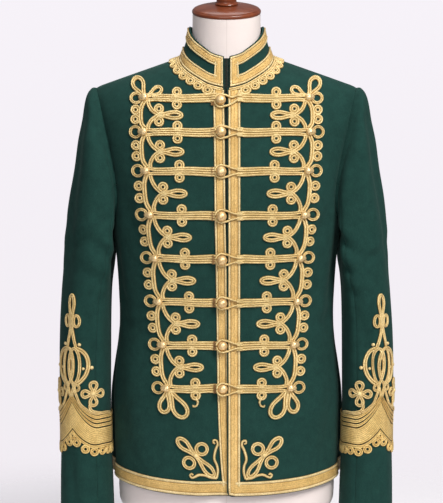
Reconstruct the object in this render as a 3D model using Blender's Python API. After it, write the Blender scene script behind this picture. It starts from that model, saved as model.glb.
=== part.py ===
"""A military jacket with gold frogging, worn by a limbless dress form on a short stand.

Metres, +Z up. The jacket faces -Y and the wearer's left is +X. The origin is at the middle of the
underside of the stand's base. Heights written "over the hem" are measured from the side hem.
"""

import math

import bmesh
import bpy
from mathutils import Vector
from mathutils.geometry import delaunay_2d_cdt

# Driving sizes of the cloth
HEM_Z = 0.190
CLOTH = 0.0020
SEAM = 0.0004
SLEEVE_SEAM = 0.0006
SQUARE = 2.4
SHOULDER_SQUARE = 2.2
UNDERARM = 0.405
SHOULDER_X = 0.2085
SHOULDER_RISE = 0.35
RIDGE_AT = (0.203, 0.632)
NECK_HALF = 0.0740
FRONT_DIP = 0.0125
BACK_DIP = 0.004

# Torso of the jacket: height over the hem, half width, depth in front, depth behind
TORSO = (
    (-0.020, 0.1818, 0.129, 0.138),
    (0.000, 0.1818, 0.128, 0.137),
    (0.080, 0.1835, 0.122, 0.134),
    (0.135, 0.1843, 0.117, 0.129),
    (0.180, 0.1800, 0.113, 0.122),
    (0.220, 0.1757, 0.111, 0.117),
    (0.270, 0.1738, 0.110, 0.113),
    (0.350, 0.1780, 0.119, 0.117),
    (0.405, 0.1850, 0.127, 0.122),
    (0.480, 0.1925, 0.132, 0.126),
    (0.560, 0.2080, 0.131, 0.124),
    (0.632, 0.2320, 0.129, 0.120),
    (0.720, 0.2600, 0.129, 0.118),
)

# Neckline: height over the hem at an angle round the neck from the front in degrees
NECK_FRONT = (
    (0.0, 0.6270),
    (21.4, 0.6337),
    (33.6, 0.6410),
    (48.6, 0.6500),
    (65.0, 0.6597),
    (80.0, 0.6697),
    (90.0, 0.6772),
)
# Behind, how far it reaches and how square it is
NECK_BACK = 0.0500
NECK_BACK_SQUARE = 2.2
# Columns of the panels and the collar that meet at the neckline
LEFT_NECK_ANGLES = (0.0, 24.3, 38.0, 54.0, 72.0, 90.0)
RIGHT_NECK_ANGLES = (0.0, 8.6, 16.1, 24.3, 38.0, 54.0, 72.0, 90.0)
BACK_NECK_ANGLES = (180.0, 155.0, 130.0, 108.0, 90.0)

# Armhole edge: height over the hem, distance from the middle in front, and behind
ARMHOLE = (
    (0.405, 0.1850, 0.1850),
    (0.412, 0.1820, 0.1825),
    (0.425, 0.1775, 0.1790),
    (0.450, 0.1735, 0.1765),
    (0.480, 0.1755, 0.1790),
    (0.515, 0.1820, 0.1850),
    (0.545, 0.1885, 0.1910),
    (0.577, 0.1960, 0.1975),
    (0.608, 0.2030, 0.2035),
    (0.630, 0.2085, 0.2085),
)

# Grids of the body panels
LOWER_ROWS = 12
UPPER_ROWS = 8
FRONT_SHOULDER_COLUMNS = 5
BACK_SHOULDER_COLUMNS = 5

# Fronts: the wearer's left lies over the right, which swings under it towards the hem
LEFT_EDGE = 0.0009
RIGHT_EDGE = 0.0030
TUCK_DEPTH = 0.0064
TUCK_TO_X = 0.050
TUCK_WIDTH = 0.038
TUCK_TO_HEIGHT = 0.420
TUCK_LENGTH = 0.210
# Swing of the right front: height over the hem, sideways shift
SWING = (
    (-0.020, 0.0190),
    (0.000, 0.0185),
    (0.052, 0.0160),
    (0.100, 0.0090),
    (0.156, 0.0055),
    (0.225, 0.0042),
    (0.290, 0.0032),
    (0.363, 0.0022),
    (0.431, 0.0012),
    (0.500, 0.0000),
    (0.700, 0.0000),
)

# Zip, behind the meeting edges
ZIP_HALF = 0.0105
ZIP_GAP = 0.0005
ZIP_THICK = 0.0012
ZIP_FOOT = 0.060
ZIP_DROP = 0.006

# Collar
COLLAR_HEIGHT = 0.0490
COLLAR_CLOTH = 0.0025
COLLAR_GAP_BASE = 0.0042
COLLAR_GAP_TOP = 0.0060
COLLAR_TOP_X = 0.806
COLLAR_TOP_Y = 0.866
COLLAR_TOP_BACK = 0.0012
COLLAR_HOLLOW = 0.0015
COLLAR_LEAD = 40.0
COLLAR_ROWS = 3
# Y of the neck's middle
NECK_MIDDLE = -0.010

# Sleeve tube: height over the hem, outer side, inner side, half depth, middle in Y, bend round body
SLEEVE = (
    (0.634, 0.2090, 0.1960, 0.0640, 0.000, 0.020),
    (0.628, 0.2165, 0.1955, 0.0660, 0.000, 0.020),
    (0.608, 0.2260, 0.1945, 0.0690, -0.001, 0.021),
    (0.576, 0.2327, 0.1930, 0.0720, -0.002, 0.022),
    (0.544, 0.2395, 0.1915, 0.0740, -0.003, 0.024),
    (0.500, 0.2455, 0.1900, 0.0760, -0.005, 0.026),
    (0.446, 0.2550, 0.1885, 0.0770, -0.007, 0.027),
    (0.381, 0.2620, 0.1870, 0.0750, -0.009, 0.024),
    (0.340, 0.2640, 0.1870, 0.0730, -0.010, 0.018),
    (0.300, 0.2672, 0.1875, 0.0710, -0.011, 0.010),
    (0.250, 0.2700, 0.1880, 0.0670, -0.013, 0.006),
    (0.184, 0.2712, 0.1882, 0.0620, -0.018, 0.005),
    (0.140, 0.2704, 0.1882, 0.0585, -0.0225, 0.004),
    (0.100, 0.2690, 0.1882, 0.0560, -0.027, 0.004),
    (0.050, 0.2684, 0.1878, 0.0530, -0.032, 0.003),
    (0.000, 0.2692, 0.1872, 0.0510, -0.038, 0.003),
    (-0.066, 0.2694, 0.1860, 0.0490, -0.046, 0.003),
)
SLEEVE_SQUARE = 2.2
SLEEVE_LEAD = 0.004
# Sleeve rings: height over the hem at the outer side, at the inner side, share of the way off the armhole
SLEEVE_RINGS = (
    (0.6300, 0.405, 0.00),
    (0.6320, 0.402, 0.30),
    (0.6230, 0.396, 0.65),
    (0.5980, 0.384, 0.90),
    (0.5550, 0.363, 1.00),
    (0.4950, 0.334, 1.00),
    (0.4250, 0.297, 1.00),
    (0.3550, 0.253, 1.00),
    (0.2850, 0.207, 1.00),
    (0.2150, 0.160, 1.00),
    (0.1500, 0.113, 1.00),
    (0.0850, 0.065, 1.00),
    (0.0150, 0.008, 1.00),
    (-0.0660, -0.066, 1.00),
)
# The two sleeve seams, as columns counted from the shoulder round by the front
FRONT_SEAM_COLUMN = 5
BACK_SEAM_COLUMN = 11

# Braid
BRAID = 0.0018
BRAID_GAP = 0.0008
OVER_BAND = 0.0037
GAP_ON_SLEEVE = 0.0012
BAND_WIDTH = 0.0178
LEFT_BAND = 0.0022
RIGHT_BAND = 0.0036
HEM_BRAID = 0.0220
HEM_BRAID_UP = 0.0010
BAND_TOP = 0.6180
EYELET = 0.0077
KNOB = 0.0062
KNOB_RISE = 0.0045
CORD = 0.0067

# Frogs, top to bottom: height over the hem, end knob from the middle, eyelet pair from the middle
FROGS = (
    (0.6110, 0.1275, 0.0773),
    (0.5588, 0.1285, 0.0767),
    (0.4990, 0.1250, 0.0740),
    (0.4309, 0.1196, 0.0711),
    (0.3628, 0.1141, 0.0679),
    (0.2935, 0.1095, 0.0628),
    (0.2246, 0.1044, 0.0590),
    (0.1564, 0.0998, 0.0551),
)
BAR_INNER = 0.0145
BAR_OUTER = 0.0116
BUTTON_X = 0.0086
BUTTON_R = 0.0073
BUTTON_LOOP = 0.0034
BAR_EYELET_UP = 0.0094
# Ring outboard of each end knob: distance from the knob, radius, hole
TOP_RING = (0.0148, 0.0100, 0.0042)
FROG_RING = (0.0160, 0.0112, 0.0046)
# Between two frogs: the outer arc's eyelets as shares of the drop, then the inner braids and their leaf
ARC_EYELETS = (0.345, 0.625)
ARC_EYELETS_OUT = 0.0146
ARC_BULGE = 0.0062
ARC_STOP = 0.0015
INNER_BRAID = 0.0064
INNER_EYELET = 0.0082
NODE_IN = 0.0210
LEAF_LENGTH = 0.0365
LEAF_HALF = 0.0078

# Loops above the top frog and below the lowest one, from the end knob:
# foot across, foot up, tip across, tip up, half width, cord, sides
CROWN_LOOPS = (
    (0.0010, 0.0020, 0.0150, 0.0340, 0.0112, 0.0062, 8),
    (-0.0040, 0.0030, -0.0260, 0.0160, 0.0072, 0.0056, 7),
)
TAIL_LOOPS = (
    (-0.0010, -0.0030, 0.0075, -0.0400, 0.0108, 0.0066, 8),
    (-0.0050, -0.0030, -0.0260, -0.0470, 0.0132, 0.0066, 9),
)

# Curl under the lowest frog's eyelets: across, down
TAIL_CURL = ((0.0, 0.0140), (-0.0010, 0.0200), (-0.0030, 0.0270))

# Corner motif: its knot's middle from the edge and over the hem, then from the knot
CORNER = (0.0612, 0.0520)
# Petals: foot across, foot up, tip across, tip up, half width, cord, sides
CORNER_PETALS = (
    (0.0010, 0.0010, 0.0300, 0.0270, 0.0088, 0.0060, 9),
    (-0.0010, -0.0010, -0.0262, -0.0300, 0.0080, 0.0058, 9),
)
# Round loops: across, up
CORNER_RINGS = ((-0.0085, 0.0100), (0.0125, -0.0110))
# Tendrils from the foot of the lower petal: three steps of a curve, then the bead at the end
CORNER_FOOT = (-0.0285, -0.0325)
CORNER_TENDRILS = (
    ((0.0020, 0.0200), (0.0100, 0.0340), (0.0010, 0.0560), (0.0030, 0.0590)),
    ((0.0120, 0.0010), (0.0240, 0.0090), (0.0385, 0.0005), (0.0410, 0.0012)),
)
TENDRIL = 0.0042
BEAD = 0.0036

# Cuff: motif axis, chevron band, and the scallops below it
CUFF_AXIS_X = 0.2477
CUFF_TOP = 0.099
CUFF_PEAK = 0.038
CUFF_PEAK_REACH = 0.062
CUFF_FOOT = 0.0345
CUFF_NOTCH = 0.0315
CUFF_NOTCH_REACH = 0.045
SCALLOP = 0.0069
SCALLOP_PITCH = 0.0150
# Cuff motif, one side of its axis. Loops: middle out, height, half width, half height, cord, sides
CUFF_OVALS = (
    (0.0075, 0.2570, 0.0044, 0.0078, 0.0046, 6),
    (0.0066, 0.1840, 0.0105, 0.0290, 0.0044, 8),
)
# Strands: width, then out and height of each point
CUFF_STRANDS = (
    (0.0048, (0.0005, 0.2520), (0.0040, 0.2320), (0.0092, 0.2110)),
    (0.0050, (0.0150, 0.1600), (0.0325, 0.1480)),
    (0.0046, (0.0080, 0.1580), (0.0040, 0.1480), (0.0030, 0.1377)),
)
CUFF_ARC = ((0.0105, 0.2130), (0.0380, 0.2080), (0.0350, 0.1680), (0.0110, 0.1560))
CUFF_ARC_WIDTH = 0.0056
CUFF_BEAD = (0.0100, 0.1480, 0.0066)
CUFF_TOP_LOOP = (0.2560, 0.2990, 0.0072, 0.0050)
# Quatrefoil beside the point: middle out, height, petals across, petals up, petal, middle
QUATREFOIL = (0.0385, 0.1400, 0.0080, 0.0084, 0.0064, 0.0052)
QUATREFOIL_TAIL = 0.0060

# Neck and collar trims
NECK_CORD = 0.0056
NECK_CORD_OUT = 0.0052
NECK_EYELET = 0.0058
NECK_EYELET_OUT = 0.0104
NECK_EYELET_START = 0.0420
NECK_EYELET_PITCH = 0.0132
COLLAR_BRAID = 0.0130
COLLAR_BRAID_IN = 0.0020

# Coarseness of the braid's solids, in millimetres
MILLI = 1000.0
SHORT_EDGE = 4.4
FLAT_CORNER = 1.2
LONGEST_EDGE = 18.0
LONGEST_ON_SLEEVE = 11.0
# Rings of points on an end knob: share of its radius, share of its rise, points
KNOB_RINGS = ((0.62, 0.80, 5), (0.0, 1.0, 1))

# Dress form under the cloth: height over the hem, half width, depth in front, depth behind
FORM = (
    (-0.080, 0.1200, 0.080, 0.092),
    (-0.070, 0.1480, 0.097, 0.111),
    (-0.0535, 0.1635, 0.107, 0.123),
    (-0.040, 0.1735, 0.113, 0.129),
    (0.020, 0.1750, 0.112, 0.130),
    (0.150, 0.1720, 0.101, 0.118),
    (0.260, 0.1660, 0.096, 0.105),
    (0.350, 0.1710, 0.105, 0.109),
    (0.405, 0.1760, 0.113, 0.113),
    (0.480, 0.1800, 0.118, 0.117),
    (0.560, 0.1840, 0.119, 0.115),
    (0.720, 0.1860, 0.120, 0.112),
)
FORM_RIDGE_DROP = 0.0029
FORM_NECK_STEPS = 3
FORM_SHOULDER_STEPS = 3
FORM_UPPER_ROWS = 5
FORM_SHOULDER_HEIGHT = 0.600
FORM_SHOULDER_IN = 0.004
# Neck of the form: height at the side, in front, behind, half width, front, back
FORM_NECK = (
    (0.6745, 0.6440, 0.6720, 0.0670, -0.0700, 0.0440),
    (0.6870, 0.6690, 0.6890, 0.0580, -0.0660, 0.0390),
    (0.7120, 0.7000, 0.7190, 0.0548, -0.0680, 0.0365),
    (0.7460, 0.7330, 0.7590, 0.0540, -0.0730, 0.0345),
)

# Stand
JOINT_GAP = 0.0003
CAP_R = 0.0543
# Profiles of the turned pieces: share of the radius, distance along the axis
CAP = (
    (0.0, 0.0),
    (1.0, 0.0),
    (1.011, 0.0030),
    (0.982, 0.0065),
    (0.80, 0.0105),
    (0.45, 0.0132),
    (0.0, 0.0142),
)
FINIAL = ((0.0, 0.0), (1.0, 0.0), (1.0, 0.0300), (0.86, 0.0340), (0.45, 0.0362), (0.0, 0.0370))
BUTTON = ((0.0, 0.0), (0.63, 0.0), (1.0, 0.0046), (0.86, 0.0096), (0.5, 0.0124), (0.0, 0.0134))
FINIAL_R = 0.0175
POLE_R = 0.015
BASE_R = 0.160
BASE_H = 0.020
BASE_ROUNDING = 0.006
BASE_FOOT_ROUNDING = 0.003


def clear_scene():
    for obj in list(bpy.data.objects):
        bpy.data.objects.remove(obj)


def material(name, colour, roughness, metallic=0.0):
    made = bpy.data.materials.new(name)
    made.use_nodes = True
    shader = made.node_tree.nodes["Principled BSDF"]
    shader.inputs["Base Color"].default_value = (*colour, 1.0)
    shader.inputs["Roughness"].default_value = roughness
    shader.inputs["Metallic"].default_value = metallic
    return made


def read(table, key, column):
    """A value from a table whose first column rises, on a smooth curve through its rows."""
    if key <= table[0][0]:
        return table[0][column]
    if key >= table[-1][0]:
        return table[-1][column]
    i = next(k for k in range(len(table) - 1) if key <= table[k + 1][0])
    low, high = table[i], table[i + 1]
    before, after = table[max(i - 1, 0)], table[min(i + 2, len(table) - 1)]
    step = high[0] - low[0]
    f = (key - low[0]) / step
    rise_low = (high[column] - before[column]) / (high[0] - before[0]) * step
    rise_high = (after[column] - low[column]) / (after[0] - low[0]) * step
    return (
        (2 * f**3 - 3 * f**2 + 1) * low[column]
        + (f**3 - 2 * f**2 + f) * rise_low
        + (3 * f**2 - 2 * f**3) * high[column]
        + (f**3 - f**2) * rise_high
    )


SLEEVE_UP = tuple(sorted(SLEEVE))


def power(value, exponent):
    return math.copysign(abs(value) ** exponent, value)


def smooth(f):
    f = min(max(f, 0.0), 1.0)
    return f * f * (3 - 2 * f)


def mesh_object(name, points, faces, finish, weld=0.0):
    """A closed body from points and faces, its normals turned outwards."""
    mesh = bpy.data.meshes.new(name)
    mesh.from_pydata([tuple(p) for p in points], [], faces)
    solid = bmesh.new()
    solid.from_mesh(mesh)
    if weld:
        bmesh.ops.remove_doubles(solid, verts=solid.verts, dist=weld)
    bmesh.ops.recalc_face_normals(solid, faces=solid.faces)
    if solid.calc_volume(signed=True) < 0:
        bmesh.ops.reverse_faces(solid, faces=solid.faces)
    solid.to_mesh(mesh)
    solid.free()
    mesh.shade_smooth()
    mesh.set_sharp_from_angle(angle=math.radians(40))
    mesh.materials.append(finish)
    made = bpy.data.objects.new(name, mesh)
    bpy.context.scene.collection.objects.link(made)
    return made


# Surface of the torso


def ridge(x):
    """Height of the shoulder line over the hem."""
    return RIDGE_AT[1] + (RIDGE_AT[0] - abs(x)) * SHOULDER_RISE


def arch(x, height):
    """How much of its depth the body keeps as it closes towards the shoulder line."""
    if height <= UNDERARM:
        return 1.0
    f = min((height - UNDERARM) / (ridge(x) - UNDERARM), 1.0)
    return (1 - f**SHOULDER_SQUARE) ** (1 / SHOULDER_SQUARE)


def depth(x, height, face):
    """Y of the jacket's outside, face -1 in front and 1 behind."""
    half = read(TORSO, height, 1)
    full = read(TORSO, height, 2 if face < 0 else 3)
    across = min(abs(x) / half, 1.0)
    return face * full * (1 - across**SQUARE) ** (1 / SQUARE) * arch(x, height)


def swing(height):
    return read(SWING, height, 1)


def tuck(x, height):
    """How deep the right front lies under the left one, x from the middle to its own side."""
    across = smooth((TUCK_TO_X - x) / TUCK_WIDTH)
    return TUCK_DEPTH * across * smooth((TUCK_TO_HEIGHT - height) / TUCK_LENGTH)


def front_point(side, x, height):
    """A point on a front's outside: side 1 is the wearer's left, x is measured to that side."""
    y = depth(x, height, -1)
    if side < 0:
        y += tuck(x, height)
    return Vector((side * x, y, HEM_Z + height))


def normal_of(surface, a, b, step=0.0008):
    """Outward normal of surface(a, b), with b rising when a runs round anticlockwise."""
    across = surface(a + step, b) - surface(a - step, b)
    up = surface(a, b + step) - surface(a, b - step)
    return across.cross(up).normalized()


def on_front(side):
    """Places a braid's point (x, height) at an offset over a front."""

    def place(x, height, offset):
        def surface(a, b):
            return front_point(side, a, b)

        return surface(x, height) + normal_of(surface, x, height) * side * offset

    return place


def hem_height(angle):
    dip = FRONT_DIP if math.cos(angle) > 0 else BACK_DIP
    return -dip * math.cos(angle) ** 2


def round_point(side, angle, height):
    """A point at an angle round the body from the middle of the front."""
    x = read(TORSO, height, 1) * power(math.sin(angle), 2 / SQUARE)
    face = -1 if math.cos(angle) > 0 else 1
    full = read(TORSO, height, 2 if face < 0 else 3)
    y = face * full * abs(math.cos(angle)) ** (2 / SQUARE) * arch(x, height)
    if side < 0 and face < 0:
        y += tuck(x, height)
    return Vector((side * x, y, HEM_Z + height))


def angle_at(x, height):
    half = read(TORSO, height, 1)
    return math.asin(power(max(min(x / half, 1.0), -1.0), SQUARE / 2))


GIRTH_STEPS = 180


def girth_table():
    """Length along the hem from the middle of the front, for each step of angle."""
    table = [(0.0, 0.0)]
    last = round_point(1, 0.0, 0.03)
    for k in range(1, GIRTH_STEPS + 1):
        angle = math.pi * k / GIRTH_STEPS
        point = round_point(1, angle, 0.03)
        table.append((table[-1][0] + (point - last).length, angle))
        last = point
    return table


GIRTH = girth_table()
FLAT_REACH = 0.030


def linear(table, key):
    if key <= table[0][0]:
        return table[0][1]
    for low, high in zip(table, table[1:]):
        if key <= high[0]:
            return low[1] + (high[1] - low[1]) * (key - low[0]) / (high[0] - low[0])
    return table[-1][1]


def on_hem(side):
    """Places a trim's point: along the girth from the middle, and up from the hem."""

    def surface(along, up):
        angle = angle_at(along, 0.03) if along < FLAT_REACH else linear(GIRTH, along)
        height = up
        if up < UNDERARM:
            hem = hem_height(angle)
            height = hem + (UNDERARM - hem) * up / UNDERARM
        if along < FLAT_REACH:
            return front_point(side, along, height)
        return round_point(side, angle, height)

    def place(along, up, offset):
        return surface(along, up) + normal_of(surface, along, up) * side * offset

    return place


# Cloth panels


def shell(name, outer, inner, finish):
    """A closed wall between two grids of points."""
    rows, columns = len(outer), len(outer[0])
    points = [p for row in outer for p in row] + [p for row in inner for p in row]
    layer = rows * columns

    def at(row, column, side):
        return side * layer + row * columns + column

    faces = []
    for r in range(rows - 1):
        for c in range(columns - 1):
            corners = ((r, c), (r, c + 1), (r + 1, c + 1), (r + 1, c))
            faces.append([at(*k, 0) for k in corners])
            faces.append([at(*k, 1) for k in reversed(corners)])
    border = [(0, c) for c in range(columns)]
    border += [(r, columns - 1) for r in range(1, rows)]
    border += [(rows - 1, c) for c in range(columns - 2, -1, -1)]
    border += [(r, 0) for r in range(rows - 2, 0, -1)]
    for a, b in zip(border, border[1:] + border[:1]):
        faces.append([at(*a, 0), at(*a, 1), at(*b, 1), at(*b, 0)])
    return mesh_object(name, points, faces, finish)


def grid_normals(grid, side):
    rows, columns = len(grid), len(grid[0])
    made = []
    for r in range(rows):
        line = []
        for c in range(columns):
            across = grid[r][min(c + 1, columns - 1)] - grid[r][max(c - 1, 0)]
            up = grid[min(r + 1, rows - 1)][c] - grid[max(r - 1, 0)][c]
            line.append(across.cross(up).normalized() * side)
        made.append(line)
    return made


def flattened(normal, axis):
    """The normal turned to lie across a seam, so that both its sides are cut alike."""
    turned = normal.copy()
    turned[axis] = 0.0
    return turned.normalized()


def neckline(angle):
    """X, Y and height of the neckline at an angle in degrees round the neck from the front."""
    turn = math.radians(angle)
    if angle < 90:
        x, height = NECK_HALF * math.sin(turn), read(NECK_FRONT, angle, 1)
        return x, depth(x, height, -1), height
    x = NECK_HALF * math.sin(turn) ** (2 / NECK_BACK_SQUARE)
    y = NECK_BACK * abs(math.cos(turn)) ** (2 / NECK_BACK_SQUARE)
    height = ridge(x)
    for _ in range(8):
        across = (x / read(TORSO, height, 1)) ** SQUARE
        full = read(TORSO, height, 3) * (1 - across) ** (1 / SQUARE)
        rise = (1 - (y / full) ** SHOULDER_SQUARE) ** (1 / SHOULDER_SQUARE)
        height = UNDERARM + (ridge(x) - UNDERARM) * rise
    return x, y, height


def neckline_point(side, angle):
    x, y, height = neckline(angle)
    return Vector((side * x, y, HEM_Z + height))


def body_panel(side, face):
    """Outer and inner grids and normals of one front (face -1) or back (face 1), hem to shoulder."""
    front = face < 0

    def edge(height):
        if not front:
            return SEAM / 2
        return LEFT_EDGE if side > 0 else RIGHT_EDGE - swing(height)

    angles = BACK_NECK_ANGLES
    upright = 0
    if front:
        angles = LEFT_NECK_ANGLES if side > 0 else RIGHT_NECK_ANGLES
        upright = 1 if side > 0 else 3
    shoulder = FRONT_SHOULDER_COLUMNS if front else BACK_SHOULDER_COLUMNS
    neck = [(neckline(a)[0], neckline(a)[2]) for a in angles]
    neck[0] = (edge(neck[0][1]), neck[0][1])
    top = list(neck)
    for k in range(1, shoulder + 1):
        x = NECK_HALF + (SHOULDER_X - NECK_HALF) * k / shoulder
        top.append((x, ridge(x)))
    columns = len(top)
    armhole_column = 1 if front else 2

    def column_x(c, height):
        return top[c][0] if c else edge(height)

    def torso_point(x, height, angle):
        if angle is not None:
            across = read(TORSO, height, 1) * power(math.sin(angle), 2 / SQUARE)
            full = read(TORSO, height, 2 if front else 3)
            y = face * full * max(math.cos(angle), 0.0) ** (2 / SQUARE)
        else:
            across = x
            y = depth(x, height, face)
        if front and side < 0:
            y += tuck(across, height)
        y = face * max(face * y, SEAM / 2)
        return Vector((side * across, y, HEM_Z + height))

    def column_angle(c, height):
        if c <= upright:
            return angle_at(column_x(c, height), height)
        start = angle_at(column_x(upright, height), height)
        return start + (math.pi / 2 - start) * (c - upright) / (columns - 1 - upright)

    outer = []
    for r in range(LOWER_ROWS + 1):
        f = r / LOWER_ROWS
        line = []
        for c in range(columns):
            angle = column_angle(c, UNDERARM * f)
            low = hem_height(angle if front else math.pi - angle)
            height = low + (UNDERARM - low) * f
            line.append(torso_point(None, height, column_angle(c, height)))
        outer.append(line)
    base = [p.x * side for p in outer[-1]]
    for r in range(1, UPPER_ROWS + 1):
        lift = (1 - math.cos(math.pi * r / UPPER_ROWS)) / 2
        end_height = UNDERARM + (ridge(SHOULDER_X) - UNDERARM) * lift
        end = read(ARMHOLE, end_height, armhole_column)
        line = []
        for c, (top_x, top_height) in enumerate(top):
            height = UNDERARM + (top_height - UNDERARM) * lift
            if c <= upright:
                line.append(torso_point(column_x(c, height), height, None))
                continue
            first = column_x(upright, height)
            low_share = (base[c] - base[upright]) / (base[-1] - base[upright])
            top_share = (top_x - top[upright][0]) / (top[-1][0] - top[upright][0])
            share = low_share + (top_share - low_share) * lift
            line.append(torso_point(first + (end - first) * share, height, None))
        outer.append(line)

    normals = grid_normals(outer, side * -face)
    for r, line in enumerate(outer):
        for c in range(columns):
            if r <= LOWER_ROWS and c == columns - 1:
                normals[r][c] = flattened(normals[r][c], 1)
            if r == len(outer) - 1 and c >= len(neck) - 1:
                normals[r][c] = flattened(normals[r][c], 1)
            if not front and c == 0:
                normals[r][c] = flattened(normals[r][c], 0)
    inner = [
        [p - n * CLOTH for p, n in zip(line, row)] for line, row in zip(outer, normals)
    ]
    return outer, inner, normals


def rim(points, normals, into):
    """For each point of a closed edge, the way that leaves the panel in its own surface."""
    ways = []
    count = len(points)
    for k in range(count):
        along = points[(k + 1) % count] - points[k - 1]
        way = along.cross(normals[k]).normalized()
        if way.dot(into - points[k]) < 0:
            way = -way
        ways.append(way)
    return ways


def armhole(front, back, side):
    """The closed armhole edge from the shoulder by the front: outer points, inner ones, ways out."""
    rows = range(LOWER_ROWS + UPPER_ROWS, LOWER_ROWS - 1, -1)
    edge = [(front, r) for r in rows] + [(back, r) for r in reversed(rows[1:-1])]
    outer = [panel[0][r][-1] for panel, r in edge]
    inner = [panel[1][r][-1] for panel, r in edge]
    normals = [panel[2][r][-1] for panel, r in edge]
    middle = Vector((side * (SHOULDER_X + 0.02), 0.0, HEM_Z + 0.52))
    for points in (outer, inner):
        points[0] = Vector((points[0].x, 0.0, points[0].z))
        low = UPPER_ROWS
        points[low] = Vector((points[low].x, 0.0, points[low].z))
    return outer, inner, rim(outer, normals, middle)


def sleeve_point(side, turn, height):
    """A point on the sleeve's tube: turn runs from the outer side round by the front."""
    out, inn, half, middle, bend = (read(SLEEVE_UP, height, k) for k in range(1, 6))
    centre, wide = (out + inn) / 2, (out - inn) / 2
    across, along = math.cos(turn), math.sin(turn)
    y = power(along, 2 / SLEEVE_SQUARE)
    x = centre + wide * power(across, 2 / SLEEVE_SQUARE)
    x -= bend * y * y * (1 - 0.5 * across)
    return Vector((side * x, middle - half * y, HEM_Z + height))


def sleeve_grids(side, hole):
    """Outer and inner rings of the sleeve, from the armhole to the cuff."""
    outer_edge, inner_edge, ways = hole
    low, high = UNDERARM, ridge(SHOULDER_X)
    turns = []
    count = len(outer_edge)
    for k, p in enumerate(outer_edge):
        share = (p.z - HEM_Z - low) / (high - low)
        turn = math.acos(max(min(2 * share - 1, 1.0), -1.0))
        turns.append(turn if k <= UPPER_ROWS else 2 * math.pi - turn)
    start = [p + way * SEAM for p, way in zip(outer_edge, ways)]
    rings = []
    for outer_height, inner_height, gone in SLEEVE_RINGS:
        ring = []
        for k in range(count):
            middle, half = (outer_height + inner_height) / 2, (outer_height - inner_height) / 2
            height = middle + half * math.cos(turns[k])
            tube = sleeve_point(side, turns[k], height)
            if gone < 1.0:
                lead = outer_edge[k] + Vector((side * SLEEVE_LEAD, 0.0, height + HEM_Z - outer_edge[k].z))
                tube = start[k] if gone == 0 else lead.lerp(tube, gone)
            ring.append(tube)
        rings.append(ring)
    inner = []
    for r, ring in enumerate(rings):
        line = []
        for k in range(count):
            along = ring[(k + 1) % count] - ring[k - 1]
            down = rings[min(r + 1, len(rings) - 1)][k] - rings[max(r - 1, 0)][k]
            normal = along.cross(down).normalized() * side
            line.append(ring[k] - normal * CLOTH)
        inner.append(line)
    inner[0] = [p + way * SEAM for p, way in zip(inner_edge, ways)]
    return rings, inner


def sleeve_piece(name, rings, inner, first, last, finish):
    """One of a sleeve's two pieces, between two columns, with half a seam's gap at each side."""
    count = len(rings[0])
    columns = [c % count for c in range(first, last + 1)]
    grids = []
    for layer in (rings, inner):
        grid = []
        for ring in layer:
            line = [ring[c] for c in columns]
            for end, inward in ((0, 1), (-1, -2)):
                way = (line[inward] - line[end]).normalized()
                line[end] = line[end] + way * SLEEVE_SEAM / 2
            grid.append(line)
        grids.append(grid)
    return shell(name, grids[0], grids[1], finish)


# Collar


def collar_angle_start():
    return math.degrees(math.asin(COLLAR_GAP_BASE / NECK_HALF))


def collar_point(side, angle, up):
    """A point on the collar's outside: angle from the front in degrees, up from its seam."""
    base = neckline_point(side, angle)
    f = up / COLLAR_HEIGHT
    top_x = abs(base.x) * COLLAR_TOP_X
    lead = 1 - smooth((angle - collar_angle_start()) / COLLAR_LEAD)
    top_x += (COLLAR_GAP_TOP - COLLAR_GAP_BASE * COLLAR_TOP_X) * lead
    top_y = base.y * COLLAR_TOP_Y + COLLAR_TOP_BACK
    hollow = COLLAR_HOLLOW * math.sin(math.pi * min(max(f, 0.0), 1.0))
    x = abs(base.x) + (top_x - abs(base.x)) * f
    y = base.y + (top_y - base.y) * f
    out = Vector((x, y - NECK_MIDDLE, 0.0)).normalized()
    return Vector((side * (x - out.x * hollow), y - out.y * hollow, base.z + up))


def collar_body(finish):
    start = collar_angle_start()
    angles = [start] + list(LEFT_NECK_ANGLES[1:-1]) + list(reversed(BACK_NECK_ANGLES))
    stops = [(-1, a) for a in angles[:-1]] + [(1, a) for a in reversed(angles)]
    outer = []
    for r in range(COLLAR_ROWS + 1):
        up = COLLAR_HEIGHT * r / COLLAR_ROWS
        line = []
        for side, angle in stops:
            point = collar_point(side, angle, up)
            point.z += SEAM
            line.append(point)
        outer.append(line)
    normals = grid_normals(outer, -1)
    inner = []
    for line, row in zip(outer, normals):
        inner.append([p - n * COLLAR_CLOTH for p, n in zip(line, row)])
    return shell("collar", outer, inner, finish)


# Braid: flat strokes joined into one outline, then laid on a surface


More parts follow.
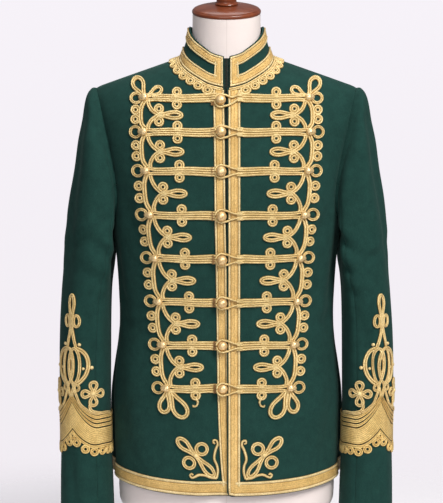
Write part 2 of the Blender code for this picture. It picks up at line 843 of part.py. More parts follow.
class Pattern:
    """Strokes drawn flat in metres, each a row of convex pieces."""

    def __init__(self):
        self.pieces = []
        self.knobs = []

    def polygon(self, corners):
        area = sum(
            a[0] * b[1] - b[0] * a[1] for a, b in zip(corners, corners[1:] + corners[:1])
        )
        self.pieces.append(corners if area > 0 else corners[::-1])

    def disc(self, x, y, radius, sides=7, turn=0.0):
        self.polygon(
            [
                (
                    x + radius * math.cos(turn + 2 * math.pi * k / sides),
                    y + radius * math.sin(turn + 2 * math.pi * k / sides),
                )
                for k in range(sides)
            ]
        )

    def ribbon(self, path, widths, closed=False):
        """A stroke along a path; widths is one number or one for each point."""
        count = len(path)
        if not isinstance(widths, (list, tuple)):
            widths = [widths] * count
        sides = []
        for k in range(count):
            if closed:
                before, after = path[k - 1], path[(k + 1) % count]
            else:
                before, after = path[max(k - 1, 0)], path[min(k + 1, count - 1)]
            dx, dy = after[0] - before[0], after[1] - before[1]
            size = math.hypot(dx, dy)
            nx, ny = -dy / size * widths[k] / 2, dx / size * widths[k] / 2
            x, y = path[k]
            sides.append(((x + nx, y + ny), (x - nx, y - ny)))
        following = sides[1:] + sides[:1] if closed else sides[1:]
        for (a, b), (c, d) in zip(sides, following):
            self.polygon([b, d, c, a])

    def ring(self, x, y, radius, hole, sides=10):
        middle = (radius + hole) / 2
        path = [
            (
                x + middle * math.cos(2 * math.pi * k / sides),
                y + middle * math.sin(2 * math.pi * k / sides),
            )
            for k in range(sides)
        ]
        self.ribbon(path, radius - hole, closed=True)

    def loop(self, base, tip, half_width, cord, sides=10):
        """A teardrop loop of cord from its foot to its round end."""
        bx, by = base
        length = math.hypot(tip[0] - bx, tip[1] - by) - cord / 2
        ux, uy = (tip[0] - bx) / (length + cord / 2), (tip[1] - by) / (length + cord / 2)
        path = []
        for k in range(sides):
            f = 2 * math.pi * k / sides
            reach = (1 - math.cos(f)) / 2
            spread = math.sin(f) * (half_width - cord / 2) * (0.35 + 0.65 * reach) / 0.72
            path.append(
                (
                    bx + ux * length * reach - uy * spread,
                    by + uy * length * reach + ux * spread,
                )
            )
        self.ribbon(path, cord, closed=True)

    def teardrop(self, base, tip, half_width, foot):
        """A filled teardrop, as where a loop's cords lie side by side."""
        bx, by = base
        length = math.hypot(tip[0] - bx, tip[1] - by)
        ux, uy = (tip[0] - bx) / length, (tip[1] - by) / length
        shares = ((0.0, 0.0), (0.58, 0.92), (0.82, 0.98), (1.0, 0.38))
        sides = []
        for reach, spread in shares:
            wide = half_width * spread if reach else foot
            x, y = bx + ux * length * reach, by + uy * length * reach
            sides.append(((x - uy * wide, y + ux * wide), (x + uy * wide, y - ux * wide)))
        for (a, b), (c, d) in zip(sides, sides[1:]):
            self.polygon([b, d, c, a])

    def knob(self, x, y, radius, rise):
        """A domed end knob, raised out of the braid's top."""
        self.disc(x, y, radius, 6)
        self.knobs.append((x, y, radius, rise))

    def mapped(self, change):
        """The same strokes with each point moved by change(x, y)."""
        made = Pattern()
        for piece in self.pieces:
            made.polygon([change(x, y) for x, y in piece])
        made.knobs = [(*change(x, y), radius, rise) for x, y, radius, rise in self.knobs]
        return made


def outline_loops(pieces):
    """The closed outlines, in millimetres, of the pieces' union."""
    points, faces = [], []
    for piece in pieces:
        faces.append(list(range(len(points), len(points) + len(piece))))
        points += [Vector((x * MILLI, y * MILLI)) for x, y in piece]
    found, _, made, _, _, origin = delaunay_2d_cdt(points, [], faces, 0, 0.02, True)
    edges = {}
    for face, source in zip(made, origin):
        if source:
            for a, b in zip(face, list(face[1:]) + [face[0]]):
                edges[(a, b)] = True
    border = {a: [] for a, _ in edges}
    for a, b in edges:
        if (b, a) not in edges:
            border[a].append(b)
    loops = []
    while True:
        first = next((a for a in sorted(border) if border[a]), None)
        if first is None:
            return loops
        line = [first]
        here = border[first].pop()
        while here != first:
            line.append(here)
            here = border[here].pop()
        loops.append([found[k] for k in line])


def simpler(loop, longest):
    """The loop without very short edges and without points on a straight run."""
    line = list(loop)
    k = 0
    while k < len(line) and len(line) > 4:
        here, after = line[k], line[(k + 1) % len(line)]
        if (after - here).length < SHORT_EDGE:
            line[k] = (here + after) / 2
            del line[(k + 1) % len(line)]
        else:
            k += 1
    k = 0
    while k < len(line) and len(line) > 4:
        before, here, after = line[k - 1], line[k], line[(k + 1) % len(line)]
        span = after - before
        away = abs(span.x * (here - before).y - span.y * (here - before).x) / max(span.length, 1e-9)
        if away < FLAT_CORNER and span.length < longest:
            del line[k]
        else:
            k += 1
    return line


def inside(loops, x, y):
    """Whether a point lies inside an odd number of the loops."""
    odd = False
    for loop in loops:
        for a, b in zip(loop, loop[1:] + loop[:1]):
            if (a.y > y) != (b.y > y) and x < a.x + (b.x - a.x) * (y - a.y) / (b.y - a.y):
                odd = not odd
    return odd


def lay(name, pattern, place, finish, lift=None, longest=LONGEST_EDGE):
    """Turns a pattern into one closed body on a surface; lift(x, y) is its underside's offset."""
    loops = [simpler(loop, longest) for loop in outline_loops(pattern.pieces)]
    loops = [loop for loop in loops if abs(loop_area(loop)) > 1.0]
    points, edges = [], []
    for loop in loops:
        start = len(points)
        points += loop
        edges += [(start + k, start + (k + 1) % len(loop)) for k in range(len(loop))]
    rises = [0.0] * len(points)
    for x, y, radius, rise in pattern.knobs:
        for share, lifted, sides in KNOB_RINGS:
            for k in range(sides):
                turn = 2 * math.pi * k / sides
                spot = Vector(
                    (
                        (x + radius * share * math.cos(turn)) * MILLI,
                        (y + radius * share * math.sin(turn)) * MILLI,
                    )
                )
                near = min((spot - p).length for p in points)
                if near > 0.6 and inside(loops, spot.x, spot.y):
                    points.append(spot)
                    rises.append(rise * lifted)
    found, _, made, source, _, _ = delaunay_2d_cdt(points, edges, [], 0, 0.001, True)
    lifts = [max((rises[k] for k in group), default=0.0) for group in source]
    faces = []
    for face in made:
        x = sum(found[k].x for k in face) / len(face)
        y = sum(found[k].y for k in face) / len(face)
        if inside(loops, x, y):
            faces.append(list(face))
    used = sorted({k for face in faces for k in face})
    index = {k: n for n, k in enumerate(used)}
    count = len(used)
    top, bottom = [], []
    for k in used:
        x, y = found[k].x / MILLI, found[k].y / MILLI
        under = lift(x, y) if lift else BRAID_GAP
        bottom.append(place(x, y, under))
        top.append(place(x, y, under + BRAID + lifts[k]))
    solid_faces = []
    directed = {}
    for face in faces:
        line = [index[k] for k in face]
        solid_faces.append(line)
        solid_faces.append([k + count for k in reversed(line)])
        for a, b in zip(line, line[1:] + line[:1]):
            directed[(a, b)] = True
    for a, b in directed:
        if (b, a) not in directed:
            solid_faces.append([b, a, a + count, b + count])
    return mesh_object(name, top + bottom, solid_faces, finish)


def loop_area(loop):
    return sum(a.x * b.y - b.x * a.y for a, b in zip(loop, loop[1:] + loop[:1])) / 2


def curve(*points, steps=5):
    """Points along a smooth curve through three or four given ones."""
    if len(points) == 3:
        a, b, c = points
        made = []
        for k in range(steps + 1):
            f = k / steps
            wa, wb, wc = 2 * (f - 0.5) * (f - 1), -4 * f * (f - 1), 2 * f * (f - 0.5)
            made.append((wa * a[0] + wb * b[0] + wc * c[0], wa * a[1] + wb * b[1] + wc * c[1]))
        return made
    a, b, c, d = points
    made = []
    for k in range(steps + 1):
        f = k / steps
        g = 1 - f
        w = (g**3, 3 * g * g * f, 3 * g * f * f, f**3)
        made.append(
            tuple(w[0] * a[i] + w[1] * b[i] + w[2] * c[i] + w[3] * d[i] for i in (0, 1))
        )
    return made


def frog_pattern(row, start):
    """One frog and what hangs from it down to the next, start being its bar's inner end."""
    height, knob, eyes = FROGS[row]
    flat = Pattern()
    stations = [start, eyes - 0.024, eyes, knob - 0.016, knob - 0.002]
    widths = [
        BAR_INNER + (BAR_OUTER - BAR_INNER) * k / (len(stations) - 1) for k in range(len(stations))
    ]
    flat.ribbon([(x, height) for x in stations], widths)
    for up in (-1, 1):
        flat.disc(eyes, height + up * BAR_EYELET_UP, EYELET, 6)
    flat.knob(knob, height, KNOB, KNOB_RISE)
    out, radius, hole = FROG_RING if row else TOP_RING
    flat.ring(knob + out, height, radius, hole, 8)
    if row == 0:
        loops_from(flat, (knob, height), CROWN_LOOPS)
    if row == len(FROGS) - 1:
        loops_from(flat, (knob, height), TAIL_LOOPS)
        tail_curl(flat, eyes, height)
    else:
        gimp(flat, row)
    return flat


def loops_from(flat, start, table):
    """Teardrop loops of a table, from a point."""
    x, y = start
    for foot_x, foot_y, tip_x, tip_y, half, cord, sides in table:
        flat.loop((x + foot_x, y + foot_y), (x + tip_x, y + tip_y), half, cord, sides)


def tail_curl(flat, eyes, height):
    """The small curl under the lowest frog's eyelets."""
    path = [(eyes + across, height - down) for across, down in TAIL_CURL]
    flat.ribbon(path, BEAD)
    flat.disc(*path[-1], TENDRIL, 6)


def gimp(flat, row):
    """The braid between a frog's end and the next one's."""
    height, knob, _ = FROGS[row]
    below, next_knob, _ = FROGS[row + 1]
    foot = below + KNOB + ARC_STOP
    drop = height - below

    def line(f):
        return knob + (next_knob - knob) * f

    middle_height = height - drop * 0.5
    arc = curve(
        (knob - 0.001, height - 0.003),
        (line(0.5) + ARC_BULGE, middle_height),
        (next_knob - 0.0005, foot),
        steps=3,
    )
    flat.ribbon(arc, CORD)
    for share in ARC_EYELETS:
        flat.disc(line(share) + ARC_EYELETS_OUT, height - drop * share, EYELET, 5, math.pi)
    node = (line(0.5) - NODE_IN, middle_height)
    upper = (knob - 0.005, height - 0.003), (line(0.3) - 0.0095, height - drop * 0.34), node
    lower = node, (line(0.7) - 0.0095, height - drop * 0.66), (next_knob - 0.0060, foot)
    for path in (upper, lower):
        flat.ribbon(curve(*path, steps=3), INNER_BRAID)
    for up in (-1, 1):
        flat.disc(node[0], node[1] + up * (INNER_EYELET + 0.0016), INNER_EYELET, 5, up * math.pi / 2)
    flat.teardrop((node[0] + 0.001, node[1]), (node[0] - LEAF_LENGTH, node[1]), LEAF_HALF, BEAD)


def button_middle(row):
    """Where a button's middle lies, on the right front's band."""
    height = FROGS[row][0]
    return -(BUTTON_X - 0.5 * swing(height)), height


def swung(x, y):
    """A point of the right front's trim, moved sideways with its edge."""
    return x - swing(y), y


def frogs(gold):
    """The frogs of both fronts; the left ones end in a loop round the button."""
    outer_edge = LEFT_BAND + BAND_WIDTH

    def lift(x, y):
        return BRAID_GAP + (OVER_BAND - BRAID_GAP) * smooth((outer_edge + 0.0100 - x) / 0.0050)

    for row in range(len(FROGS)):
        height = FROGS[row][0]
        flat = frog_pattern(row, outer_edge + 0.0020)
        bx, by = button_middle(row)
        flat.ring(bx, by, BUTTON_R + 0.0050, BUTTON_R + 0.0018, 8)
        for up in (-1, 1):
            flat.ribbon(
                curve(
                    (outer_edge + 0.0022, height + up * 0.0036),
                    (bx + 0.0155, by + up * 0.0058),
                    (bx + 0.0050, by + up * 0.0104),
                    steps=3,
                ),
                BUTTON_LOOP,
            )
        lay(f"frog_left_{row + 1}", flat, on_front(1), gold, lift)
        flat = frog_pattern(row, RIGHT_BAND + BAND_WIDTH + 0.0004).mapped(swung)
        lay(f"frog_right_{row + 1}", flat, on_front(-1), gold)


def front_trim(side, gold):
    """The band up a front's edge and the braid along the hem to the middle of the back."""
    flat = Pattern()
    half_girth = GIRTH[-1][0] - SEAM
    steps = 28

    def start(up):
        return LEFT_BAND if side > 0 else RIGHT_BAND - swing(up)

    levels = [HEM_BRAID_UP + (BAND_TOP - HEM_BRAID_UP) * k / 24 for k in range(25)]
    path = [(start(up) + BAND_WIDTH / 2, up) for up in levels]
    flat.ribbon(path, BAND_WIDTH)
    first = start(0.0)
    middle = HEM_BRAID_UP + HEM_BRAID / 2
    stops = [first + 0.0010 + (half_girth - first - 0.0010) * k / steps for k in range(steps + 1)]
    flat.ribbon([(s, middle) for s in stops], HEM_BRAID)
    name = "front_trim_left" if side > 0 else "front_trim_right"
    lay(name, flat, on_hem(side), gold)


def corner_motif(side, gold):
    """The knot of loops in a front's lower corner."""
    flat = Pattern()
    kx, ky = CORNER
    flat.disc(kx, ky, 0.0060, 8)
    loops_from(flat, CORNER, CORNER_PETALS)
    for across, up in CORNER_RINGS:
        flat.ring(kx + across, ky + up, *FROG_RING[1:], 8)
    foot = (kx + CORNER_FOOT[0], ky + CORNER_FOOT[1])
    flat.disc(*foot, BEAD, 6)
    for steps in CORNER_TENDRILS:
        *path, bead = [(foot[0] + across, foot[1] + up) for across, up in steps]
        flat.ribbon(curve(foot, *path, steps=6), TENDRIL)
        flat.disc(*bead, BEAD, 6)
    if side < 0:
        flat = flat.mapped(swung)
    name = "corner_motif_left" if side > 0 else "corner_motif_right"
    lay(name, flat, on_front(side), gold)


# Neck trim


def neck_lengths():
    table = [(0.0, 0.0)]
    last = neckline_point(1, 0.0)
    for k in range(1, 181):
        point = neckline_point(1, float(k))
        table.append((table[-1][0] + (point - last).length, float(k)))
        last = point
    return table


NECK_LENGTHS = neck_lengths()


def torso_normal(x, y, height):
    """Outward normal anywhere on the body between the armholes, the shoulder line too."""

    def level(a, b, c):
        face = 2 if y < 0 else 3
        half = read(TORSO, c, 1)
        full = read(TORSO, c, face) * (1 - min(abs(a) / half, 0.999) ** SQUARE) ** (1 / SQUARE)
        rise = max(c - UNDERARM, 0.0) / (ridge(a) - UNDERARM)
        return (abs(b) / full) ** SHOULDER_SQUARE + rise**SHOULDER_SQUARE

    step = 0.0005
    return Vector(
        (
            level(x + step, y, height) - level(x - step, y, height),
            level(x, y + step, height) - level(x, y - step, height),
            level(x, y, height + step) - level(x, y, height - step),
        )
    ).normalized()


def neck_spot(angle):
    """The neckline's point at an angle, carried on past the middle of the front and the back."""
    if angle > 180:
        return neckline_point(-1, 360 - angle)
    return neckline_point(1, angle) if angle >= 0 else neckline_point(-1, -angle)


def on_neck(side):
    """Places a point along the neckline and out from it, over the shoulders."""

    def place(along, out, offset):
        angle = linear(NECK_LENGTHS, along)
        here = neck_spot(angle)
        ahead, behind = neck_spot(angle + 3.0), neck_spot(angle - 3.0)
        normal = torso_normal(here.x, here.y, here.z - HEM_Z)
        way = normal.cross(ahead - behind).normalized()
        if way.dot(Vector((0.0, NECK_MIDDLE, HEM_Z + 0.75)) - here) > 0:
            way = -way
        spot = here + way * out
        x, y, height = spot.x, spot.y, spot.z - HEM_Z
        face = -1 if angle < 90 else 1
        if 50 < angle < 140:
            low, high = 0.5, ridge(x)
            for _ in range(30):
                middle = (low + high) / 2
                if abs(depth(x, middle, face)) > abs(y):
                    low = middle
                else:
                    high = middle
            height = low
        else:
            y = depth(x, height, face)
        normal = torso_normal(x, y, height)
        made = Vector((x, y, height + HEM_Z)) + normal * offset
        return Vector((side * made.x, made.y, made.z))

    return place


def neck_trim(side, gold):
    """A cord along the collar seam with a row of eyelets below it."""
    flat = Pattern()
    whole = NECK_LENGTHS[-1][0]
    first = (LEFT_BAND if side > 0 else RIGHT_BAND) + 0.0010
    end = whole - SEAM
    steps = 16
    path = [(first + (end - first) * k / steps, NECK_CORD_OUT) for k in range(steps + 1)]
    flat.ribbon(path, NECK_CORD)
    count = int((end - NECK_EYELET_START - 0.0090) / NECK_EYELET_PITCH) + 1
    for k in range(count):
        along = NECK_EYELET_START + NECK_EYELET_PITCH * k
        flat.disc(along, NECK_EYELET_OUT, NECK_EYELET, 5, -math.pi / 2)
    name = "neck_trim_left" if side > 0 else "neck_trim_right"
    lay(name, flat, on_neck(side), gold)


def on_collar(side):
    start = collar_angle_start()

    def surface(along, up):
        angle = linear(NECK_LENGTHS, along + linear_inverse(start))
        point = collar_point(1, angle, up)
        point.z += SEAM
        return point

    def place(along, up, offset):
        spot = surface(along, up) + normal_of(surface, along, up) * offset
        return Vector((side * spot.x, spot.y, spot.z))

    return place


def linear_inverse(angle):
    return linear([(b, a) for a, b in NECK_LENGTHS], angle)


def collar_trim(side, gold):
    """The braid frame of a collar half, open towards the middle of the back."""
    flat = Pattern()
    width, edge = COLLAR_BRAID, COLLAR_BRAID_IN
    whole = NECK_LENGTHS[-1][0] - linear_inverse(collar_angle_start()) - SEAM
    steps = 15
    stops = [edge + (whole - edge) * k / steps for k in range(steps + 1)]
    for middle in (edge + width / 2, COLLAR_HEIGHT - edge - width / 2):
        flat.ribbon([(s, middle) for s in stops], width)
    flat.ribbon(
        [(edge + width / 2, edge + (COLLAR_HEIGHT - 2 * edge) * k / 3) for k in range(4)], width
    )
    name = "collar_trim_left" if side > 0 else "collar_trim_right"
    lay(name, flat, on_collar(side), gold)


# Cuffs


def cuff_table():
    """Length round the sleeve from the motif's axis towards the body, for each turn."""
    height = CUFF_TOP
    out, inn = read(SLEEVE_UP, height, 1), read(SLEEVE_UP, height, 2)
    share = (CUFF_AXIS_X - (out + inn) / 2) / ((out - inn) / 2)
    axis = math.acos(power(share, SLEEVE_SQUARE / 2))
    table = [(0.0, axis)]
    last = sleeve_point(1, axis, height)
    steps = 240
    for k in range(1, steps + 1):
        turn = axis + 2 * math.pi * k / steps
        point = sleeve_point(1, turn, height)
        table.append((table[-1][0] + (point - last).length, turn))
        last = point
    return table


CUFF_ROUND = cuff_table()
CUFF_LENGTH = CUFF_ROUND[-1][0]


def on_sleeve(side):
    """Places a trim's point: along the round of the sleeve from the motif's axis, and its height."""

    def surface(along, height):
        turn = linear(CUFF_ROUND, along % CUFF_LENGTH)
        return sleeve_point(1, turn, height)

    def place(along, height, offset):
        spot = surface(along, height) - normal_of(surface, along, height) * offset
        return Vector((side * spot.x, spot.y, spot.z))

    return place


def cuff_top(along):
    """Height of the band's upper edge, drawn up to a point at the axis."""
    return CUFF_TOP + CUFF_PEAK * max(1 - abs(along) / CUFF_PEAK_REACH, 0.0) ** 2


def cuff_foot(along):
    """Height of the band's lower edge, which follows the point."""
    return CUFF_FOOT + CUFF_NOTCH * max(1 - abs(along) / CUFF_NOTCH_REACH, 0.0) ** 1.6


def cuff_band(side, gold):
    """The pointed cuff band with a scalloped foot, open along the sleeve's inner side."""
    half = CUFF_LENGTH / 2 - SEAM
    bumps = 2 * int(half / SCALLOP_PITCH)
    place = on_sleeve(side)
    outer, inner = [], []
    for up in (0.0, 1.0):
        lines = ([], [])
        for k in range(2 * bumps + 1):
            along = half * (k / bumps - 1)
            foot = cuff_foot(along) + (SCALLOP if k % 2 == 0 else 0.0)
            height = foot + (cuff_top(along) - foot) * up
            lines[0].append(place(along, height, BRAID_GAP + BRAID))
            lines[1].append(place(along, height, BRAID_GAP))
        outer.append(lines[0])
        inner.append(lines[1])
    name = "cuff_band_left" if side > 0 else "cuff_band_right"
    return shell(name, outer, inner, gold)


def oval(x, y, wide, high, sides):
    turns = (2 * math.pi * k / sides for k in range(sides))
    return [(x + wide * math.cos(a), y + high * math.sin(a)) for a in turns]


def off_sleeve(_x, _y):
    return GAP_ON_SLEEVE


def cuff_motif(side, gold):
    """The knot of loops that stands on the cuff band's point."""
    flat = Pattern()
    low, tip, half, cord = CUFF_TOP_LOOP
    flat.loop((0.0, low), (0.0, tip), half, cord, 7)
    middle, level, apart, above, petal, heart = QUATREFOIL
    for way in (-1, 1):
        for out, height, wide, high, cord, sides in CUFF_OVALS:
            flat.ribbon(oval(way * out, height, wide, high, sides), cord, closed=True)
        for cord, *path in CUFF_STRANDS:
            flat.ribbon([(way * out, height) for out, height in path], cord)
        flat.ribbon(curve(*[(way * out, height) for out, height in CUFF_ARC]), CUFF_ARC_WIDTH)
        out, height, radius = CUFF_BEAD
        flat.disc(way * out, height, radius, 6)
        cx = way * middle
        for dx, dy in ((0, 1), (0, -1), (1, 0), (-1, 0)):
            flat.disc(cx + dx * apart, level + dy * above, petal, 5)
        flat.disc(cx, level, heart, 5)
        end = cx + way * apart
        path = [(cx - way * 0.0010, 0.1290), (cx + way * 0.0010, 0.1180), (end, cuff_top(end) + 0.0040)]
        flat.ribbon(path, QUATREFOIL_TAIL)
    name = "cuff_motif_left" if side > 0 else "cuff_motif_right"
    lay(name, flat, on_sleeve(side), gold, off_sleeve, LONGEST_ON_SLEEVE)


# Buttons and zip


def button(row, brass):
    x, height = button_middle(row)
    place = on_front(-1)
    own = -x
    seat = place(own, height, BRAID_GAP + BRAID + JOINT_GAP)
    way = (place(own, height, 0.01) - place(own, height, 0.0)).normalized()
    turned(f"button_{row + 1}", scaled(BUTTON, BUTTON_R), seat, way, 7, brass)


def scaled(profile, radius):
    return [(radius * share, along) for share, along in profile]


def turned(name, profile, seat, way, sides, finish):
    """A body turned about the line from seat along way; profile is radius, distance."""
    turn = Vector((0.0, 0.0, 1.0)).rotation_difference(way)
    points, rings = [], []
    for radius, along in profile:
        if radius == 0.0:
            rings.append([len(points)])
            points.append(seat + way * along)
            continue
        ring = []
        for k in range(sides):
            a = 2 * math.pi * k / sides
            flat = Vector((radius * math.cos(a), radius * math.sin(a), along))
            ring.append(len(points))
            points.append(seat + turn @ flat)
        rings.append(ring)
    faces = []
    for low, high in zip(rings, rings[1:]):
        for k in range(sides):
            n = (k + 1) % sides
            if len(low) == 1:
                faces.append([low[0], high[n], high[k]])
            elif len(high) == 1:
                faces.append([low[k], low[n], high[0]])
            else:
                faces.append([low[k], low[n], high[n], high[k]])
    return mesh_object(name, points, faces, finish)


def edge_heights():
    """Heights of the fronts' rows at the meeting edge, hem to neck."""
    low, top = hem_height(0.0), neckline(0.0)[2]
    made = [low + (UNDERARM - low) * r / LOWER_ROWS for r in range(LOWER_ROWS + 1)]
    for r in range(1, UPPER_ROWS + 1):
        made.append(UNDERARM + (top - UNDERARM) * (1 - math.cos(math.pi * r / UPPER_ROWS)) / 2)
    return made


def zip_tape(dark):
    """The zip's tape behind the meeting edges of the fronts."""
    outer, inner = [], []
    heights = [h for h in edge_heights() if h > ZIP_FOOT]
    heights[-1] -= ZIP_DROP
    for height in heights:
        lines = ([], [])
        for x in (-ZIP_HALF, ZIP_HALF):
            spot = Vector((x, depth(x, height, -1) + tuck(0.0, height), HEM_Z + height))
            normal = torso_normal(x, depth(x, height, -1), height)
            lines[0].append(spot - normal * (CLOTH + ZIP_GAP))
            lines[1].append(spot - normal * (CLOTH + ZIP_GAP + ZIP_THICK))
        outer.append(lines[0])
        inner.append(lines[1])
    return shell("zip", outer, inner, dark)


# Dress form and stand


def form_ridge(x):
    end = smooth((abs(x) - 0.110) / 0.076) ** 2
    return ridge(x) - FORM_RIDGE_DROP - 0.040 * end


def form_y(x, height, face):
    half = read(FORM, height, 1)
    full = read(FORM, height, 2 if face < 0 else 3)
    across = min(abs(x) / half, 1.0)
    y = full * (1 - across**SQUARE) ** (1 / SQUARE)
    if height > UNDERARM:
        f = min((height - UNDERARM) / (form_ridge(x) - UNDERARM), 1.0)
        y *= (1 - f**SHOULDER_SQUARE) ** (1 / SHOULDER_SQUARE)
    return face * y


def neck_ring_point(level, angle):
    side_h, front_h, back_h, half, front, back = FORM_NECK[level]
    x = half * math.sin(angle)
    c = math.cos(angle)
    if level == 0:
        y = front * c if c > 0 else -back * c
        end = front_h if c > 0 else back_h
        return Vector((x, y, HEM_Z + side_h + (end - side_h) * c * c))
    y = (front + back) / 2 - (back - front) / 2 * c
    return Vector((x, y, HEM_Z + (front_h + back_h) / 2 - (back_h - front_h) / 2 * c))


def form_spot(height, turn):
    """A point on the form below the arms, at a turn round it from the front."""
    face = -1 if math.cos(turn) > 0 else 1
    x = read(FORM, height, 1) * power(math.sin(turn), 2 / SQUARE)
    full = read(FORM, height, 2 if face < 0 else 3)
    y = face * full * abs(math.cos(turn)) ** (2 / SQUARE)
    return Vector((x, y, HEM_Z + height))


def dress_form(linen):
    """The form's torso as one smooth closed body, from its rounded foot to its neck."""
    quarter = FORM_NECK_STEPS + FORM_SHOULDER_STEPS
    count = 4 * quarter
    turns = [2 * math.pi * k / count for k in range(count)]
    steps = [min(k % (2 * quarter), 2 * quarter - k % (2 * quarter)) for k in range(count)]
    sides = [1 if turn <= math.pi else -1 for turn in turns]
    faces_of = [-1 if math.cos(turn) > 0 else 1 for turn in turns]
    points, faces = [], []

    def add_ring(ring, below):
        """Adds a ring of points, and the faces down to the ring below it."""
        made = list(range(len(points), len(points) + len(ring)))
        points.extend(ring)
        if below:
            for k in range(len(ring)):
                n = (k + 1) % len(ring)
                faces.append([below[k], below[n], made[n], made[k]])
        return made

    def around(k):
        """The angle round the neck from the front, for a column that ends at the neck."""
        angle = math.pi / 2 * steps[k] / FORM_NECK_STEPS
        return angle if faces_of[k] < 0 else math.pi - angle

    ring = None
    for row in FORM:
        if row[0] <= UNDERARM:
            ring = add_ring([form_spot(row[0], turn) for turn in turns], ring)
    faces.append(list(reversed(range(count))))
    chest = [abs(points[k].x) / read(FORM, UNDERARM, 1) for k in ring]

    neck_half = FORM_NECK[0][3]
    shoulder = read(FORM, FORM_SHOULDER_HEIGHT, 1) - FORM_SHOULDER_IN
    for r in range(1, FORM_UPPER_ROWS + 1):
        lift = math.sin(math.pi / 2 * r / FORM_UPPER_ROWS)
        line = []
        for k in range(count):
            if steps[k] <= FORM_NECK_STEPS:
                end = neck_ring_point(0, around(k))
                top_x, top_y, top_height = end.x, abs(end.y), end.z - HEM_Z
            else:
                share = (steps[k] - FORM_NECK_STEPS) / FORM_SHOULDER_STEPS
                top_x = neck_half + (shoulder - neck_half) * share
                top_y, top_height = 0.0, form_ridge(top_x)
            height = UNDERARM + (top_height - UNDERARM) * lift
            low_x = min(chest[k], 1.0) * read(FORM, height, 1)
            x = low_x + (top_x - low_x) * lift**3
            last = r == FORM_UPPER_ROWS
            y = faces_of[k] * top_y if last else form_y(x, height, faces_of[k])
            line.append(Vector((sides[k] * x, y, HEM_Z + height)))
        ring = add_ring(line, ring)

    neck = [k for k in range(count) if steps[k] <= FORM_NECK_STEPS]
    ring = [ring[k] for k in neck]
    for level in range(1, len(FORM_NECK)):
        line = []
        for k in neck:
            spot = neck_ring_point(level, around(k))
            line.append(Vector((sides[k] * spot.x, spot.y, spot.z)))
        ring = add_ring(line, ring)
    faces.append(ring)
    mesh_object("form_torso", points, faces, linen, weld=0.00005)


def stand(wood, metal):
    """The neck cap with its finial, the pole and the base."""
    _, front_h, back_h, _, front, back = FORM_NECK[-1]
    middle = Vector((0.0, (front + back) / 2, HEM_Z + (front_h + back_h) / 2))
    way = Vector((0.0, -(back_h - front_h), back - front)).normalized()
    seat = middle + way * JOINT_GAP
    turned("neck_cap", scaled(CAP, CAP_R), seat, way, 18, wood)
    top = seat + way * (CAP[-1][1] + JOINT_GAP)
    turned("finial", scaled(FINIAL, FINIAL_R), top, way, 12, wood)
    up = Vector((0.0, 0.0, 1.0))
    length = HEM_Z + FORM[0][0] - BASE_H - 2 * JOINT_GAP
    pole = ((0.0, 0.0), (POLE_R, 0.0), (POLE_R, length), (0.0, length))
    turned("pole", pole, Vector((0.0, 0.0, BASE_H + JOINT_GAP)), up, 16, metal)
    base = (
        (0.0, 0.0),
        (BASE_R - BASE_FOOT_ROUNDING, 0.0),
        (BASE_R, BASE_FOOT_ROUNDING),
        (BASE_R, BASE_H - BASE_ROUNDING),
        (BASE_R - BASE_ROUNDING, BASE_H),
        (0.0, BASE_H),
    )
    turned("base", base, Vector((0.0, 0.0, 0.0)), up, 24, wood)


def build():
    clear_scene()
    wool = material("wool", (0.012, 0.055, 0.042), 0.9)
    gold = material("gold_braid", (0.70, 0.50, 0.19), 0.5, 0.3)
    brass = material("gilt_button", (0.80, 0.55, 0.25), 0.25, 1.0)
    dark = material("zip_tape", (0.01, 0.03, 0.025), 0.8)
    linen = material("linen", (0.82, 0.77, 0.72), 0.85)
    wood = material("varnished_wood", (0.25, 0.07, 0.03), 0.3)
    metal = material("stand_metal", (0.35, 0.33, 0.30), 0.35, 1.0)

    for side, name in ((1, "left"), (-1, "right")):
        front = body_panel(side, -1)
        back = body_panel(side, 1)
        shell(f"front_{name}", front[0], front[1], wool)
        shell(f"back_{name}", back[0], back[1], wool)
        rings, inner = sleeve_grids(side, armhole(front, back, side))
        count = len(rings[0])
        sleeve_piece(
            f"sleeve_{name}_top", rings, inner, BACK_SEAM_COLUMN - count, FRONT_SEAM_COLUMN, wool
        )
        sleeve_piece(
            f"sleeve_{name}_under", rings, inner, FRONT_SEAM_COLUMN, BACK_SEAM_COLUMN, wool
        )
        front_trim(side, gold)
        corner_motif(side, gold)
        neck_trim(side, gold)
        collar_trim(side, gold)
        cuff_band(side, gold)
        cuff_motif(side, gold)
    collar_body(wool)
    frogs(gold)
    for row in range(len(FROGS)):
        button(row, brass)
    zip_tape(dark)
    dress_form(linen)
    stand(wood, metal)


build()
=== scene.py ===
"""Looks of a hussar-style military jacket, worn by a limbless dress form on a short stand.

Metres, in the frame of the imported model: the jacket faces -Y and the wearer's left is +X.
Heights are over the side hem unless a name says otherwise.
"""

import math

import bmesh
import bpy
import numpy as np
from mathutils import Matrix, Vector


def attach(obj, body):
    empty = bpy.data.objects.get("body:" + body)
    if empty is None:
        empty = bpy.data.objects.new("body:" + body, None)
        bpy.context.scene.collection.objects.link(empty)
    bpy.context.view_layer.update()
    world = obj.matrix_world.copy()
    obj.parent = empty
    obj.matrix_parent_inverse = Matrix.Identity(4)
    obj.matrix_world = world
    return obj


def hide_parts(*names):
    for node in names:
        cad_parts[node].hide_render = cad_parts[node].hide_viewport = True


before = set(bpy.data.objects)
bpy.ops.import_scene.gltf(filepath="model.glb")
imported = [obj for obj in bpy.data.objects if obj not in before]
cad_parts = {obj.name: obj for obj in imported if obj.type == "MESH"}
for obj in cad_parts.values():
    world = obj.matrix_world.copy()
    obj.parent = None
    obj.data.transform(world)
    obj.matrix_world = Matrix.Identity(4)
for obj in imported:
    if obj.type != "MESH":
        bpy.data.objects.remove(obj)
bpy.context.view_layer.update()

SIDES = {1: "left", -1: "right"}

